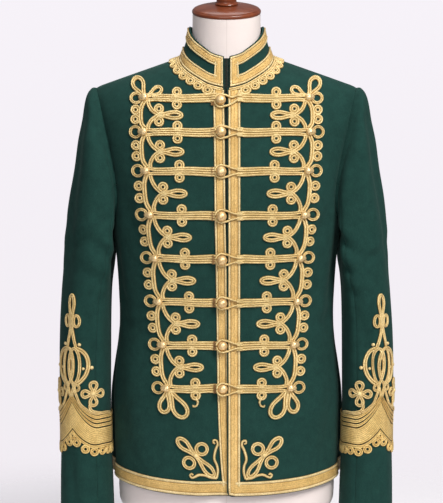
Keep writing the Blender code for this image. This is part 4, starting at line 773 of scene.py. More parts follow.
def outward(side, x, height, face):
    """The level direction that leaves the body at a place, for a front or a back."""
    half = at(HALF, height)
    across = np.minimum(np.abs(x) / half, 1.0)
    rest = closing(across, SQUARE) ** (SQUARE - 1)
    x_way = side * np.sign(x) * across ** (SQUARE - 1) / half
    return unit(spot(x_way, face * rest / deep_at(face, height), 0.0))


def front_at(side, x, height):
    """A point on a front's outside: side 1 is the wearer's left, x is measured to that side."""
    y = depth(x, height, -1)
    if side < 0:
        y = y + tuck(x, height)
    flat = spot(side * x, y, HEM_Z + height)
    raised = body_relief(side, angle_at(x, height), height)
    return flat + outward(side, x, height, -1) * raised[..., None]


def round_at(side, angle, height):
    flat = smooth_round(side, angle, height)
    face = np.where(np.cos(angle) > 0, -1.0, 1.0)
    raised = body_relief(side, angle, height)
    return flat + outward(side, across_at(angle, height), height, face) * raised[..., None]


def laid_on(surface, sign):
    """Places a flat point (a, b) at an offset over a surface."""
    step = 0.0006

    def place(a, b, offset):
        across = surface(a + step, b) - surface(a - step, b)
        up = surface(a, b + step) - surface(a, b - step)
        normal = unit(np.cross(across, up)) * sign
        return surface(a, b) + normal * np.asarray(offset)[..., None]

    return place


def on_front(side):
    def surface(x, height):
        return front_at(side, x, height)

    return laid_on(surface, side)


FLAT_REACH = 0.030


def on_hem(side):
    """Places a trim's point: along the girth from the middle, and up from the hem."""

    def surface(along, up):
        near = along < FLAT_REACH
        turned_to = np.interp(along, GIRTH, GIRTH_ANGLES)
        angle = np.where(near, angle_at(along, GIRTH_HEIGHT), turned_to)
        hem = hem_height(angle)
        height = np.where(up < UNDERARM, hem + (UNDERARM - hem) * up / UNDERARM, up)
        level, turned_away = front_at(side, along, height), round_at(side, angle, height)
        return np.where(near[..., None], level, turned_away)

    return laid_on(surface, side)


# Neckline


def neckline(angle):
    """X, Y and height of the neckline at an angle in degrees round the neck from the front."""
    turn = math.radians(angle)
    if angle < 90:
        x, height = NECK_HALF * math.sin(turn), read(NECK_FRONT, angle, 1)
        return x, float(depth(x, height, -1)), height
    x = NECK_HALF * max(math.sin(turn), 0.0) ** (2 / NECK_BACK_SQUARE)
    y = NECK_BACK * abs(math.cos(turn)) ** (2 / NECK_BACK_SQUARE)
    height = ridge(x)
    for _ in range(8):
        full = float(at(DEEP[1], height)) * closing(x / float(at(HALF, height)), SQUARE)
        height = UNDERARM + (ridge(x) - UNDERARM) * closing(y / full, SHOULDER_SQUARE)
    return x, y, height


NECK_ANGLES = np.linspace(0.0, 180.0, 721)
NECK_LINE = np.array([neckline(angle) for angle in NECK_ANGLES])


def neck_spot(angle):
    """The neckline's point at an angle, carried on past the middle of the front and the back."""
    folded = np.where(angle > 180, 360 - angle, np.abs(angle))
    sign = np.where((angle > 180) | (angle < 0), -1.0, 1.0)
    x, y, height = (np.interp(folded, NECK_ANGLES, NECK_LINE[:, k]) for k in range(3))
    return spot(sign * x, y, HEM_Z + height)


NECK_LENGTHS = run_of(neck_spot(NECK_ANGLES))


def torso_normal(x, y, height):
    """Outward normal anywhere on the body between the armholes, the shoulder line too."""

    def level(a, b, c):
        full = deep_at(y, c) * closing(np.minimum(np.abs(a) / at(HALF, c), 0.999), SQUARE)
        rise = np.maximum(c - UNDERARM, 0.0) / (ridge(a) - UNDERARM)
        return (np.abs(b) / full) ** SHOULDER_SQUARE + rise**SHOULDER_SQUARE

    step = 0.0005
    return unit(
        spot(
            level(x + step, y, height) - level(x - step, y, height),
            level(x, y + step, height) - level(x, y - step, height),
            level(x, y, height + step) - level(x, y, height - step),
        )
    )


def on_neck(side):
    """Places a point along the neckline and out from it, over the shoulders."""

    def place(along, out, offset):
        angle = np.interp(along, NECK_LENGTHS, NECK_ANGLES)
        here = neck_spot(angle)
        normal = torso_normal(here[:, 0], here[:, 1], here[:, 2] - HEM_Z)
        way = unit(np.cross(normal, neck_spot(angle + 3.0) - neck_spot(angle - 3.0)))
        inward = np.array((0.0, NECK_MIDDLE, HEM_Z + 0.75)) - here
        way = way * np.where((way * inward).sum(1) > 0, -1.0, 1.0)[:, None]
        moved = here + way * out[:, None]
        x, y, height = moved[:, 0], moved[:, 1], moved[:, 2] - HEM_Z
        front = angle < 90
        low, high = np.full(len(x), 0.5), ridge(x)
        for _ in range(30):
            middle = (low + high) / 2
            deep = np.abs(np.where(front, depth(x, middle, -1), depth(x, middle, 1)))
            above = deep > np.abs(y)
            low, high = np.where(above, middle, low), np.where(above, high, middle)
        first, last, blend = OVER_SHOULDER
        over = smooth((angle - first) / blend) * smooth((last - angle) / blend)
        flat_y = np.where(front, depth(x, height, -1), depth(x, height, 1))
        y, height = flat_y + (y - flat_y) * over, height + (low - height) * over
        normal = torso_normal(x, y, height)
        made = spot(x, y, height + HEM_Z) + normal * offset[:, None]
        return made * np.array((side, 1.0, 1.0))

    return place


# Mesh helpers


def placed(name, data):
    """A new object in the scene."""
    made = bpy.data.objects.new(name, data)
    bpy.context.scene.collection.objects.link(made)
    return made


def make(name, points, faces, finish, marks=None, sharp=50.0):
    """A closed mesh object, its normals turned outwards; marks are the strand coordinates."""
    mesh = bpy.data.meshes.new(name)
    mesh.from_pydata(np.asarray(points).tolist(), [], faces)
    if marks is not None:
        layer = mesh.uv_layers.new(name="strand")
        layer.data.foreach_set("uv", np.asarray(marks, dtype=np.float32).ravel())
    solid = bmesh.new()
    solid.from_mesh(mesh)
    bmesh.ops.recalc_face_normals(solid, faces=solid.faces)
    if solid.calc_volume(signed=True) < 0:
        bmesh.ops.reverse_faces(solid, faces=solid.faces)
    solid.to_mesh(mesh)
    solid.free()
    mesh.shade_smooth()
    mesh.set_sharp_from_angle(angle=math.radians(sharp))
    mesh.materials.append(finish)
    return placed(name, mesh)


def dress(piece, slot, *nodes):
    """A piece of the one body, standing for the nodes it is named after."""
    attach(piece, "root")
    if nodes:
        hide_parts(*nodes)
    return piece


def grid_faces(rows, columns, start=0, wrap=False):
    index = start + np.arange(rows * columns).reshape(rows, columns)
    right = np.roll(index, -1, axis=1)
    quads = np.stack((index[:-1], right[:-1], right[1:], index[1:]), axis=-1)
    if not wrap:
        quads = quads[:, :-1]
    return quads.reshape(-1, 4)


def shell(name, outer, inner, finish):
    """A closed wall between two grids of points, its rim slightly rounded."""
    rows, columns = outer.shape[:2]
    layer = rows * columns
    quads = [grid_faces(rows, columns), grid_faces(rows, columns, layer)[:, ::-1]]
    index = np.arange(layer).reshape(rows, columns)
    border = np.concatenate((index[0], index[1:, -1], index[-1, -2::-1], index[-2:0:-1, 0]))
    after = np.roll(border, -1)
    quads.append(np.stack((border, border + layer, after + layer, after), axis=-1))
    points = np.concatenate((outer.reshape(-1, 3), inner.reshape(-1, 3)))
    made = make(name, points, np.concatenate(quads).tolist(), finish)
    bevel = made.modifiers.new("rim", "BEVEL")
    bevel.width = CLOTH_BEVEL
    bevel.segments = 2
    bevel.limit_method = "ANGLE"
    bevel.angle_limit = math.radians(62)
    return made


def grid_normals(grid, sign):
    return unit(np.cross(np.gradient(grid, axis=1), np.gradient(grid, axis=0))) * sign


def flattened(normals, axis):
    """Normals turned to lie across a seam, so that both its sides are cut alike."""
    turned_in = normals.copy()
    turned_in[..., axis] = 0.0
    return unit(turned_in)


def rounded(across, up, radius):
    """A square corner's places, drawn in to a round corner."""
    u, v = radius - across, radius - up
    corner = (u > 0) & (v > 0)
    share = np.where(corner, np.maximum(u, v) / np.maximum(np.hypot(u, v), 1e-9), 1.0)
    return np.where(corner, radius - u * share, across), np.where(corner, radius - v * share, up)


# Cloth panels


def closing_in(count, share):
    """Shares from 0 to 1 that lie closer together towards 1."""
    steps = np.linspace(0.0, 1.0, count + 1)
    return 1 - (1 - steps) ** share


def body_panel(side, face):
    """Outer and inner grids and normals of one front (face -1) or back (face 1), hem to shoulder."""
    front = face < 0

    def edge(height):
        if not front:
            return np.full(np.shape(height), SEAM / 2)
        return np.full(np.shape(height), LEFT_EDGE) if side > 0 else RIGHT_EDGE - at(SHIFT, height)

    shares = closing_in(SHOULDER_COLUMNS, SHOULDER_CLOSING)[1:]
    shoulder = NECK_HALF + (SHOULDER_X - NECK_HALF) * shares
    if front:
        first = math.degrees(math.asin(UPRIGHT_X / NECK_HALF))
        angles = np.concatenate(([first], np.linspace(first, 90.0, NECK_COLUMNS + 1)[1:]))
        upright = len(UPRIGHT) - 1
    else:
        angles = 180.0 - 90.0 * (1 - closing_in(NECK_COLUMNS, NECK_CLOSING)[::-1])
        upright = 0
    neck_x, neck_height = (np.interp(angles, NECK_ANGLES, NECK_LINE[:, k]) for k in (0, 2))
    if front:
        inner_x = np.array(UPRIGHT[:-1]) * (UPRIGHT_X - LEFT_EDGE) + LEFT_EDGE
        inner_angles = np.degrees(np.arcsin(inner_x / NECK_HALF))
        heights = np.interp(inner_angles, NECK_ANGLES, NECK_LINE[:, 2])
        heights[0] = NECK_LINE[0, 2]
        neck_x = np.concatenate((inner_x, neck_x))
        neck_height = np.concatenate((heights, neck_height))
    neck_count = len(neck_x)
    top_x = np.concatenate((neck_x, shoulder))
    top_height = np.concatenate((neck_height, ridge(shoulder)))
    columns = len(top_x)
    order = np.arange(columns)
    fan = np.clip((order - upright) / (columns - 1 - upright), 0.0, 1.0)
    if front:
        fan = 1 - (1 - fan) ** FRONT_CLOSING
    else:
        fan = 0.35 * fan + 0.65 * (1 - np.cos(math.pi * fan)) / 2

    def upright_x(height):
        """X of the columns beside the edge."""
        start = edge(height)
        if not front:
            return start
        shares = np.concatenate((UPRIGHT, np.ones(columns - len(UPRIGHT))))
        return start + (UPRIGHT_X - start) * shares

    def lower_angles(height):
        x = upright_x(height)
        own = angle_at(x, height)
        start = angle_at(UPRIGHT_X if front else SEAM / 2, height)
        spread = start + (math.pi / 2 - start) * fan
        return np.where(order <= upright, own, spread)

    levels = np.concatenate((HEM_SHARES, np.linspace(HEM_SHARES[-1], 1.0, LOWER_ROWS + 1)[1:]))
    rows = []
    for f in levels:
        angle = lower_angles(np.full(columns, UNDERARM * f))
        low = hem_height(angle if front else math.pi - angle)
        height = low + (UNDERARM - low) * f
        angle = lower_angles(height)
        x = across_at(angle, height)
        if front:
            start = edge(height)
            across, up = rounded(x - start, height - low, CORNER_ROUND)
            x, height = start + across, low + up
        rows.append((x, height, np.maximum(np.cos(angle), 0.0) ** (2 / SQUARE)))
    lower = len(rows) - 1
    base = rows[-1][0]
    base_shares = (base - base[upright]) / (base[-1] - base[upright])
    top_shares = (top_x - top_x[upright]) / (top_x[-1] - top_x[upright])
    for r in range(1, UPPER_ROWS + 1):
        lift = (1 - math.cos(math.pi * r / UPPER_ROWS)) / 2
        end = at(HOLE[face], UNDERARM + (ridge(SHOULDER_X) - UNDERARM) * lift)
        height = UNDERARM + (top_height - UNDERARM) * lift
        start = upright_x(height)
        first = UPRIGHT_X if front else SEAM / 2
        x = np.where(
            order <= upright,
            start,
            first + (end - first) * (base_shares + (top_shares - base_shares) * lift),
        )
        across = np.minimum(np.abs(x) / at(HALF, height), 1.0)
        rows.append((x, height, closing(across, SQUARE) * arch(x, height)))

    x, height, share = (np.array([row[k] for row in rows]) for k in range(3))
    y = face * at(DEEP[face], height) * share
    if front and side < 0:
        y = y + tuck(x, height)
    y = face * np.maximum(face * y, SEAM / 2)
    outer = spot(side * x, y, HEM_Z + height)
    angle = angle_at(x, height)
    raised = body_relief(side, angle if front else math.pi - angle, height)
    outer = outer + outward(side, x, height, face) * raised[..., None]

    normals = grid_normals(outer, side * -face)
    normals[: lower + 1, -1] = flattened(normals[: lower + 1, -1], 1)
    normals[-1, neck_count - 1 :] = flattened(normals[-1, neck_count - 1 :], 1)
    if not front:
        normals[:, 0] = flattened(normals[:, 0], 0)
    at_shoulder = near_seam(outer, outer[-1:]) * smooth((order - neck_count) / 4.0)
    sink = np.maximum(near_seam(outer, outer[:, -1:]), at_shoulder)
    if not front:
        sink = np.maximum(sink, near_seam(outer, outer[:, :1]))
    outer = outer - normals * (SEAM_SINK * sink)[..., None]
    return outer, outer - normals * CLOTH, normals, lower


def armhole(front, back, side):
    """The closed armhole edge from the shoulder by the front: outer points, inner ones, ways out."""
    edges = []
    for k in range(3):
        down = front[k][front[3] :, -1][::-1]
        up = back[k][back[3] :, -1]
        edges.append(np.concatenate((down, up[1:-1])))
    outer, inner, normals = edges
    for points in (outer, inner):
        points[0, 1] = 0.0
        points[UPPER_ROWS, 1] = 0.0
    along = np.roll(outer, -1, axis=0) - np.roll(outer, 1, axis=0)
    ways = unit(np.cross(along, normals))
    middle = np.array((side * (SHOULDER_X + 0.02), 0.0, HEM_Z + 0.52))
    ways = ways * np.where((ways * (middle - outer)).sum(1) < 0, -1.0, 1.0)[:, None]
    return outer, inner, ways


# Metres round the sleeve for each radian, in the tables of creases
SLEEVE_TURN = 0.057


def sleeve_at(side, turn, height, share=1.0):
    """A point on the sleeve's tube: turn runs from the outer side round by the front."""
    out, inn, half, middle, bend = (at(curve, height) for curve in TUBE)
    centre, wide = (out + inn) / 2, (out - inn) / 2
    across, along = np.cos(turn), np.sin(turn)
    y = signed_power(along, 2 / SLEEVE_SQUARE)
    x = centre + wide * signed_power(across, 2 / SLEEVE_SQUARE)
    x = x - bend * y * y * (1 - 0.5 * across)
    flat = spot(side * x, middle - half * y, HEM_Z + height)
    table = LEFT_SLEEVE_CREASES if side > 0 else RIGHT_SLEEVE_CREASES
    around = 2 * math.pi * SLEEVE_TURN
    raised = share * SLEEVE_CREASE * relief(table, turn * SLEEVE_TURN, height, around)
    keep = 2 - 2 / SLEEVE_SQUARE
    way = spot(side * signed_power(across, keep) / wide, -signed_power(along, keep) / half, 0.0)
    return flat + unit(way) * raised[..., None]


def sleeve_grids(side, hole):
    """Outer and inner rings of the sleeve, from the armhole to the cuff."""
    outer_edge, inner_edge, ways = hole
    share = (outer_edge[:, 2] - HEM_Z - UNDERARM) / (ridge(SHOULDER_X) - UNDERARM)
    turns = np.arccos(np.clip(2 * share - 1, -1.0, 1.0))
    turns = np.where(np.arange(len(turns)) <= UPPER_ROWS, turns, 2 * math.pi - turns)
    start = outer_edge + ways * SEAM
    rings = [start]
    last = len(SLEEVE_RINGS) - 1
    for step in np.linspace(0.0, last, last * RINGS_A_STEP + 1)[1:]:
        outer_height, inner_height, gone = (at(curve, step) for curve in RING)
        gone = min(max(float(gone), 0.0), 1.0)
        middle, half = (outer_height + inner_height) / 2, (outer_height - inner_height) / 2
        height = middle + half * np.cos(turns)
        tube = sleeve_at(side, turns, height, float(smooth((gone - 0.3) / 0.7)))
        puff = HEAD_PUFF * math.sin(math.pi * gone) * np.clip(np.cos(turns), 0.0, 1.0) ** 3
        lead = start + spot(
            side * SLEEVE_LEAD * float(smooth(gone / 0.3)), 0.0, height + HEM_Z - outer_edge[:, 2]
        )
        rings.append(lead + (tube - lead) * np.minimum(gone + puff, 1.0)[:, None])
    rings = np.array(rings)
    along = np.roll(rings, -1, axis=1) - np.roll(rings, 1, axis=1)
    normals = unit(np.cross(along, np.gradient(rings, axis=0))) * side
    rings = rings - normals * (SEAM_SINK / 2 * near_seam(rings, rings[:1]))[..., None]
    inner = rings - normals * CLOTH
    inner[0] = inner_edge + ways * SEAM
    return rings, inner


def sleeve_piece(name, rings, inner, first, last, finish):
    """One of a sleeve's two pieces, between two columns, with half a seam's gap at each side."""
    columns = np.arange(first, last + 1) % rings.shape[1]
    grids = []
    for layer in (rings, inner):
        grid = layer[:, columns].copy()
        sink = np.maximum(near_seam(grid, grid[:, :1]), near_seam(grid, grid[:, -1:]))
        inward = unit(layer.mean(axis=1, keepdims=True) - grid)
        grid = grid + inward * (SEAM_SINK * 0.8 * sink)[..., None]
        for end, beside in ((0, 1), (-1, -2)):
            grid[:, end] += unit(grid[:, beside] - grid[:, end]) * SLEEVE_SEAM / 2
        grids.append(grid)
    return shell(name, grids[0], grids[1], finish)


# Collar


COLLAR_START = math.degrees(math.asin(COLLAR_GAP_BASE / NECK_HALF))
COLLAR_START_LENGTH = float(np.interp(COLLAR_START, NECK_ANGLES, NECK_LENGTHS))


def collar_at(angle, up):
    """A point on the collar's outside, wearer's left: angle from the front, up from its seam."""
    base = neck_spot(angle)
    f = np.clip(up / COLLAR_HEIGHT, -0.05, 1.05)
    top_x = base[..., 0] * COLLAR_TOP_X
    lead = 1 - smooth((angle - COLLAR_START) / COLLAR_LEAD)
    top_x = top_x + (COLLAR_GAP_TOP - COLLAR_GAP_BASE * COLLAR_TOP_X) * lead
    top_y = base[..., 1] * COLLAR_TOP_Y + COLLAR_TOP_BACK
    hollow = COLLAR_HOLLOW * np.sin(math.pi * np.clip(f, 0.0, 1.0))
    x = base[..., 0] + (top_x - base[..., 0]) * f
    y = base[..., 1] + (top_y - base[..., 1]) * f
    out = unit(spot(x, y - NECK_MIDDLE, 0.0))
    return spot(x - out[..., 0] * hollow, y - out[..., 1] * hollow, base[..., 2] + up + SEAM)


def collar_body(finish):
    half = np.concatenate(
        ([COLLAR_START, 5.0, 8.0], np.linspace(12.0, 90.0, 22), np.linspace(90.0, 180.0, 22)[1:])
    )
    ups = COLLAR_HEIGHT * np.linspace(0.0, 1.0, 15)
    left = collar_at(half[None, :] + 0 * ups[:, None], ups[:, None] + 0 * half[None, :])
    right = left * np.array((-1.0, 1.0, 1.0))
    outer = np.concatenate((right, left[:, -2::-1]), axis=1)
    normals = grid_normals(outer, -1)
    return shell("collar_cloth", outer, outer - normals * COLLAR_CLOTH, finish)


def on_collar(side):
    def surface(along, up):
        angle = np.interp(along + COLLAR_START_LENGTH, NECK_LENGTHS, NECK_ANGLES)
        return collar_at(angle, up)

    lay_left = laid_on(surface, 1)

    def place(along, up, offset):
        return lay_left(along, up, offset) * np.array((side, 1.0, 1.0))

    return place


# Sections of the braids: across from -1 to 1, share of the thickness


def cords(count, steps=4, valley=0.30):
    """The section of some cords side by side, closed underneath."""
    turns = np.arange(count * steps + 1) / steps
    high = valley + (1 - valley) * np.abs(np.sin(math.pi * turns)) ** 0.8
    high[[0, -1]] = CORD_BRINK
    across = 2 * turns / count - 1
    rows = [(-0.95, 0.0), *zip(across, high), (0.95, 0.0)]
    return np.array(rows), count


TWO = cords(2)
ONE = cords(1, 6)
# A flat band with a round rib along each edge, by one side of its section
BAND_SIDE = (
    (0.98, 0.0), (1.0, 0.36), (0.95, 0.80), (0.81, 1.0), (0.66, 0.80), (0.58, 0.30),
    (0.51, 0.62), (0.40, 0.74), (0.28, 0.56), (0.17, 0.74), (0.06, 0.74),
)
BAND = np.array([(-x, high) for x, high in BAND_SIDE] + [(0.0, 0.56)] + list(BAND_SIDE[::-1])), 4
WOVEN = cords(9, 2, 0.84)

# A teardrop loop's leg as shares of its length and height
DROP_LEG = ((0.0, 0.12), (0.32, 0.16), (0.48, 1.0), (0.70, 1.0))
# Half section of a bead, as shares of its radius
BEAD = ((1.0, 0.0), (1.04, 0.35), (0.90, 0.72), (0.62, 0.94), (0.25, 1.02))
BEAD_SIDES = 12


class Strokes:
    """Braid drawn flat in metres, to be laid on a surface as raised cords."""

    def __init__(self):
        self.flat = []
        self.rise = []
        self.faces = []
        self.marks = []
        self.count = 0

    def span(self, one, other, section, lift=0.0, thick=THICK, closed=False):
        """A raised strip between two flat curves, with a section from one to the other."""
        profile, strands = section
        rows, columns = len(one), len(profile)
        across = (profile[:, 0] + 1) / 2
        flat = one[:, None] + (other - one)[:, None] * across[None, :, None]
        lift, thick = each(lift, rows)[:, None], each(thick, rows)[:, None]
        rise = OFF_CLOTH + lift + thick * profile[None, :, 1]
        middle = (one + other) / 2
        gaps = np.linalg.norm(np.roll(middle, -1, axis=0) - middle, axis=1) / STRAND
        first = np.concatenate(([0.0], np.cumsum(gaps[:-1])))
        after = first + gaps
        index = self.count + np.arange(rows * columns).reshape(rows, columns)
        ahead = np.roll(index, -1, axis=0)
        corners = (index, ahead, np.roll(ahead, -1, axis=1), np.roll(index, -1, axis=1))
        quads = np.stack(corners, axis=-1)
        v = across * strands
        next_v = np.roll(v, -1)
        us = np.stack((first, after, after, first), axis=-1)[:, None]
        vs = np.stack((v, v, next_v, next_v), axis=-1)[None]
        marks = np.stack(np.broadcast_arrays(us, vs), axis=-1)
        if not closed:
            quads, marks = quads[:-1], marks[:-1]
        self.faces += quads.reshape(-1, 4).tolist()
        self.marks.append(marks.reshape(-1, 2))
        if not closed:
            for ring, u in ((index[0], first[0]), (index[-1][::-1], first[-1])):
                self.faces.append(ring.tolist())
                own = v if u == first[0] else v[::-1]
                self.marks.append(columns_of(np.full(columns, u), own))
        self.flat.append(flat.reshape(-1, 2))
        self.rise.append(rise.ravel())
        self.count += rows * columns

    def sweep(self, path, width, section=TWO, lift=0.0, thick=THICK, closed=False):
        """A cord or band along a flat path, mitred at its corners."""
        path = np.asarray(path, dtype=float)
        width = each(width, len(path))
        if closed:
            before, after = path - np.roll(path, 1, axis=0), np.roll(path, -1, axis=0) - path
        else:
            steps = np.diff(path, axis=0)
            before, after = np.vstack((steps[:1], steps)), np.vstack((steps, steps[-1:]))
        sides = [unit(columns_of(-way[:, 1], way[:, 0])) for way in (before, after)]
        out = unit(sides[0] + sides[1])
        half = width / 2 / np.maximum((out * sides[0]).sum(axis=1), 0.6)
        out = out * half[:, None]
        self.span(path + out, path - out, section, lift, thick, closed)

    def ring(self, x, y, radius, hole, lift=0.0, stretch=1.0):
        """A cord bent round a hole."""
        middle = (radius + hole) / 2
        count = max(int(2 * math.pi * middle / STEP), 16)
        turns = circle(count)
        path = columns_of(x + middle * np.cos(turns), y + middle * stretch * np.sin(turns))
        self.sweep(path, radius - hole, lift=lift, closed=True)

    def drop(self, base, tip, half_width, cord, lift=0.0):
        """A teardrop loop of cord: two legs from its foot that meet round its far end."""
        base, tip = np.array(base), np.array(tip)
        way = unit(tip - base)
        length = np.linalg.norm(tip - base) - cord / 2
        high = half_width - cord / 2
        legs = bezier(*((along * length, out * high) for along, out in DROP_LEG))
        turns = np.linspace(0.0, math.pi / 2, 8)[1:]
        end = columns_of(0.70 * length + 0.30 * length * np.sin(turns), high * np.cos(turns))
        half = np.vstack((legs, end))
        whole = np.vstack((half, (half * (1.0, -1.0))[-2::-1]))
        side = np.array((-way[1], way[0]))
        self.sweep(base + whole[:, :1] * way + whole[:, 1:] * side, cord, lift=lift)

    def bead(self, x, y, radius, lift=0.0):
        """A small round button of thread."""
        turns = circle(BEAD_SIDES)
        start, total = self.count, BEAD_SIDES * len(BEAD)
        for share, high in BEAD:
            out = radius * share
            self.flat.append(columns_of(x + out * np.cos(turns), y + out * np.sin(turns)))
            self.rise.append(np.full(BEAD_SIDES, OFF_CLOTH + lift + high * radius * 0.9))
        quads = grid_faces(len(BEAD), BEAD_SIDES, start, wrap=True)
        self.faces += quads.tolist()
        self.faces.append(list(range(start + BEAD_SIDES - 1, start - 1, -1)))
        self.faces.append(list(range(start + total - BEAD_SIDES, start + total)))
        self.marks.append(np.full((4 * len(quads) + 2 * BEAD_SIDES, 2), 0.5))
        self.count += total

    def mapped(self, change):
        """The same strokes with each flat point moved."""
        self.flat = [change(flat) for flat in self.flat]
        return self


def bezier(a, b, c, d):
    """Points along the curve of four control points."""
    a, b, c, d = (np.array(p) for p in (a, b, c, d))
    count = max(int(np.linalg.norm(d - a) * 1.15 / STEP), 6)
    f = np.linspace(0.0, 1.0, count + 1)[:, None]
    g = 1 - f
    return g**3 * a + 3 * g * g * f * b + 3 * g * f * f * c + f**3 * d


def flow(points, step=STEP):
    """A smooth curve through a row of points."""
    points = np.array(points, dtype=float)
    ends = np.vstack((2 * points[0] - points[1], points, 2 * points[-1] - points[-2]))
    made = [points[:1]]
    for p0, p1, p2, p3 in zip(ends, ends[1:], ends[2:], ends[3:]):
        count = max(int(np.linalg.norm(p2 - p1) / step), 2)
        f = np.linspace(0.0, 1.0, count + 1)[1:, None]
        made.append(
            0.5 * (2 * p1 + (p2 - p0) * f + (2 * p0 - 5 * p1 + 4 * p2 - p3) * f**2
                   + (3 * p1 - p0 - 3 * p2 + p3) * f**3)
        )
    return np.vstack(made)


def straight(points):
    """Closely spaced points along straight runs, keeping every corner."""
    points = np.array(points, dtype=float)
    made = [points[:1]]
    for a, b in zip(points, points[1:]):
        count = max(int(np.linalg.norm(b - a) / STEP), 1)
        f = np.linspace(0.0, 1.0, count + 1)[1:, None]
        made.append(a + (b - a) * f)
    return np.vstack(made)


def lay(name, strokes, place, finish, *nodes):
    """Makes strokes a piece of braid on a surface, standing for the nodes."""
    flat, rise = np.concatenate(strokes.flat), np.concatenate(strokes.rise)
    points = place(flat[:, 0], flat[:, 1], rise)
    piece = make(name, points, strokes.faces, finish, np.concatenate(strokes.marks), 70.0)
    dress(piece, "gold_braid", *nodes)


def braid(node, strokes, place, finish):
    lay(f"{node}_braid", strokes, place, finish, node)


# Frogs


def button_middle(row):
    """Where a button's middle lies, on the right front's band."""
    height = FROGS[row][0]
    drop = 0.0 if row else TOP_BUTTON_DROP
    return -(BUTTON_X - BUTTON_SWING * float(at(SHIFT, height))), height - drop


def swung(flat):
    """Points of the right front's trim, moved sideways with its edge."""
    return columns_of(flat[:, 0] - at(SHIFT, flat[:, 1]), flat[:, 1])


def bar(strokes, row, start, over):
    """The two doubled cords from the front's edge to the end knob; over(x) is their lift."""
    height, knob, _ = FROGS[row]
    xs = np.concatenate(
        (np.arange(start, knob - BAR_SLIT, STEP), np.linspace(knob - BAR_SLIT, knob - 0.001, 9))
    )
    share = (xs - start) / (knob - start)
    width = (BAR_INNER + (BAR_OUTER - BAR_INNER) * share) / 2
    part = BAR_SPLIT * smooth((xs - knob + BAR_SLIT) / (BAR_SLIT - 0.003))
    bend = 0.0006 * np.sin(xs * 70.0 + 1.7 * row)
    for up in (-1, 1):
        path = columns_of(xs, height + bend + up * (width / 2 + part))
        strokes.sweep(path, width, lift=0.0006 + over(xs))


def frog(row, start, over):
    """One frog and what hangs from it down to the next, start being its bar's inner end."""
    height, knob, eyes = FROGS[row]
    strokes = Strokes()
    for up in (-1, 1):
        strokes.ring(eyes, height + up * BAR_EYELET_UP, EYELET, EYELET_HOLE)
    bar(strokes, row, start, over)
    out, radius, hole = FROG_RING if row else TOP_RING
    strokes.ring(knob + out, height, radius, hole, 0.0004, stretch=1.0 if row else 0.92)
    if row == 0:
        drops(strokes, (knob, height), CROWN_LOOPS)
    if row == len(FROGS) - 1:
        drops(strokes, (knob, height), TAIL_LOOPS)
        curl = flow([(eyes + across, height - down) for across, down in TAIL_CURL])
        strokes.sweep(curl, np.linspace(0.0040, 0.0026, len(curl)), ONE)
    else:
        gimp(strokes, row)
    return strokes


def drops(strokes, start, table):
    """Teardrop loops of a table, from a point."""
    x, y = start
    for foot_x, foot_y, tip_x, tip_y, half, cord in table:
        strokes.drop((x + foot_x, y + foot_y), (x + tip_x, y + tip_y), half, cord, 0.0003)


def gimp(strokes, row):
    """The braid between a frog's end and the next one's."""
    height, knob, _ = FROGS[row]
    below, next_knob, _ = FROGS[row + 1]
    foot = below + ARC_STOP
    drop = height - below

    def line(f):
        return knob + (next_knob - knob) * f

    for share in ARC_EYELETS:
        strokes.ring(line(share) + ARC_EYELETS_OUT, height - drop * share, EYELET, EYELET_HOLE)
    arc = [(line(f) + ARC_BULGE * bulge, height - drop * share) for f, share, bulge in ARC_STEPS]
    ends = (knob - ARC_IN, height - GIMP_DOWN), (next_knob - ARC_IN, foot)
    strokes.sweep(flow([ends[0], *arc, ends[1]]), CORD, lift=0.0003)
    node_x, node_y = line(0.5) - NODE_IN, height - drop * 0.5
    for up in (-1, 1):
        strokes.ring(node_x, node_y + up * INNER_EYELET_UP, INNER_EYELET, EYELET_HOLE)
    upper = [(line(f) - inward, height - drop * share) for f, share, inward in INNER_STEPS]
    lower = [(line(1 - f) - inward, height - drop * (1 - share)) for f, share, inward in INNER_STEPS]
    starts = (knob - INNER_IN[0], height - GIMP_DOWN), (next_knob - INNER_IN[1], foot)
    for first, steps, up, lift in ((starts[0], upper, 1, 0.0002), (starts[1], lower, -1, 0.0006)):
        crossing = [(node_x + x, node_y + up * y) for x, y in NODE_CROSSING]
        strokes.sweep(flow([first, *steps, *crossing]), INNER_BRAID, lift=lift)
    foot, tip = (node_x + 0.001, node_y), (node_x - LEAF_LENGTH, node_y)
    strokes.drop(foot, tip, LEAF_HALF, INNER_BRAID, 0.0004)


def button_loop(strokes, row, outer_edge):
    """The two cords that leave the bar's end over the band and meet round the button."""
    height = FROGS[row][0]
    bx, by = button_middle(row)
    lift = OVER_BAND + 0.0004
    radius = BUTTON_R + BUTTON_LOOP / 2 - 0.0004
    for up in (-1, 1):
        path = [(outer_edge + x, height + up * y) for x, y in LOOP_START]
        path += [(bx + x, by + up * y) for x, y in LOOP_NECK]
        for turn in np.radians(LOOP_TURNS):
            path.append((bx + radius * math.cos(turn), by + up * radius * 1.06 * math.sin(turn)))
        strokes.sweep(flow(path), BUTTON_LOOP, ONE, lift, 0.0030)


def whipping(strokes, row, over):
    """Thread wound round the right bar beside the button, its brown tone painted shadow."""
    x, height = button_middle(row)
    start = -x + BUTTON_R
    for k in range(WHIP_TURNS):
        across = start + WHIP_START + WHIP_PITCH * k
        path = [(across, height + y) for y in np.linspace(-WHIP_HALF, WHIP_HALF, 9)]
        strokes.sweep(path, WHIP_THREAD, ONE, WHIP_UP + over(np.array([across]))[0], WHIP_THREAD)


def over_edge(end, rise):
    """How far a bar is lifted on its way over a band that ends at a place."""

    def lift(x):
        return rise * smooth((end - x) / BAND_CLIMB)

    return lift


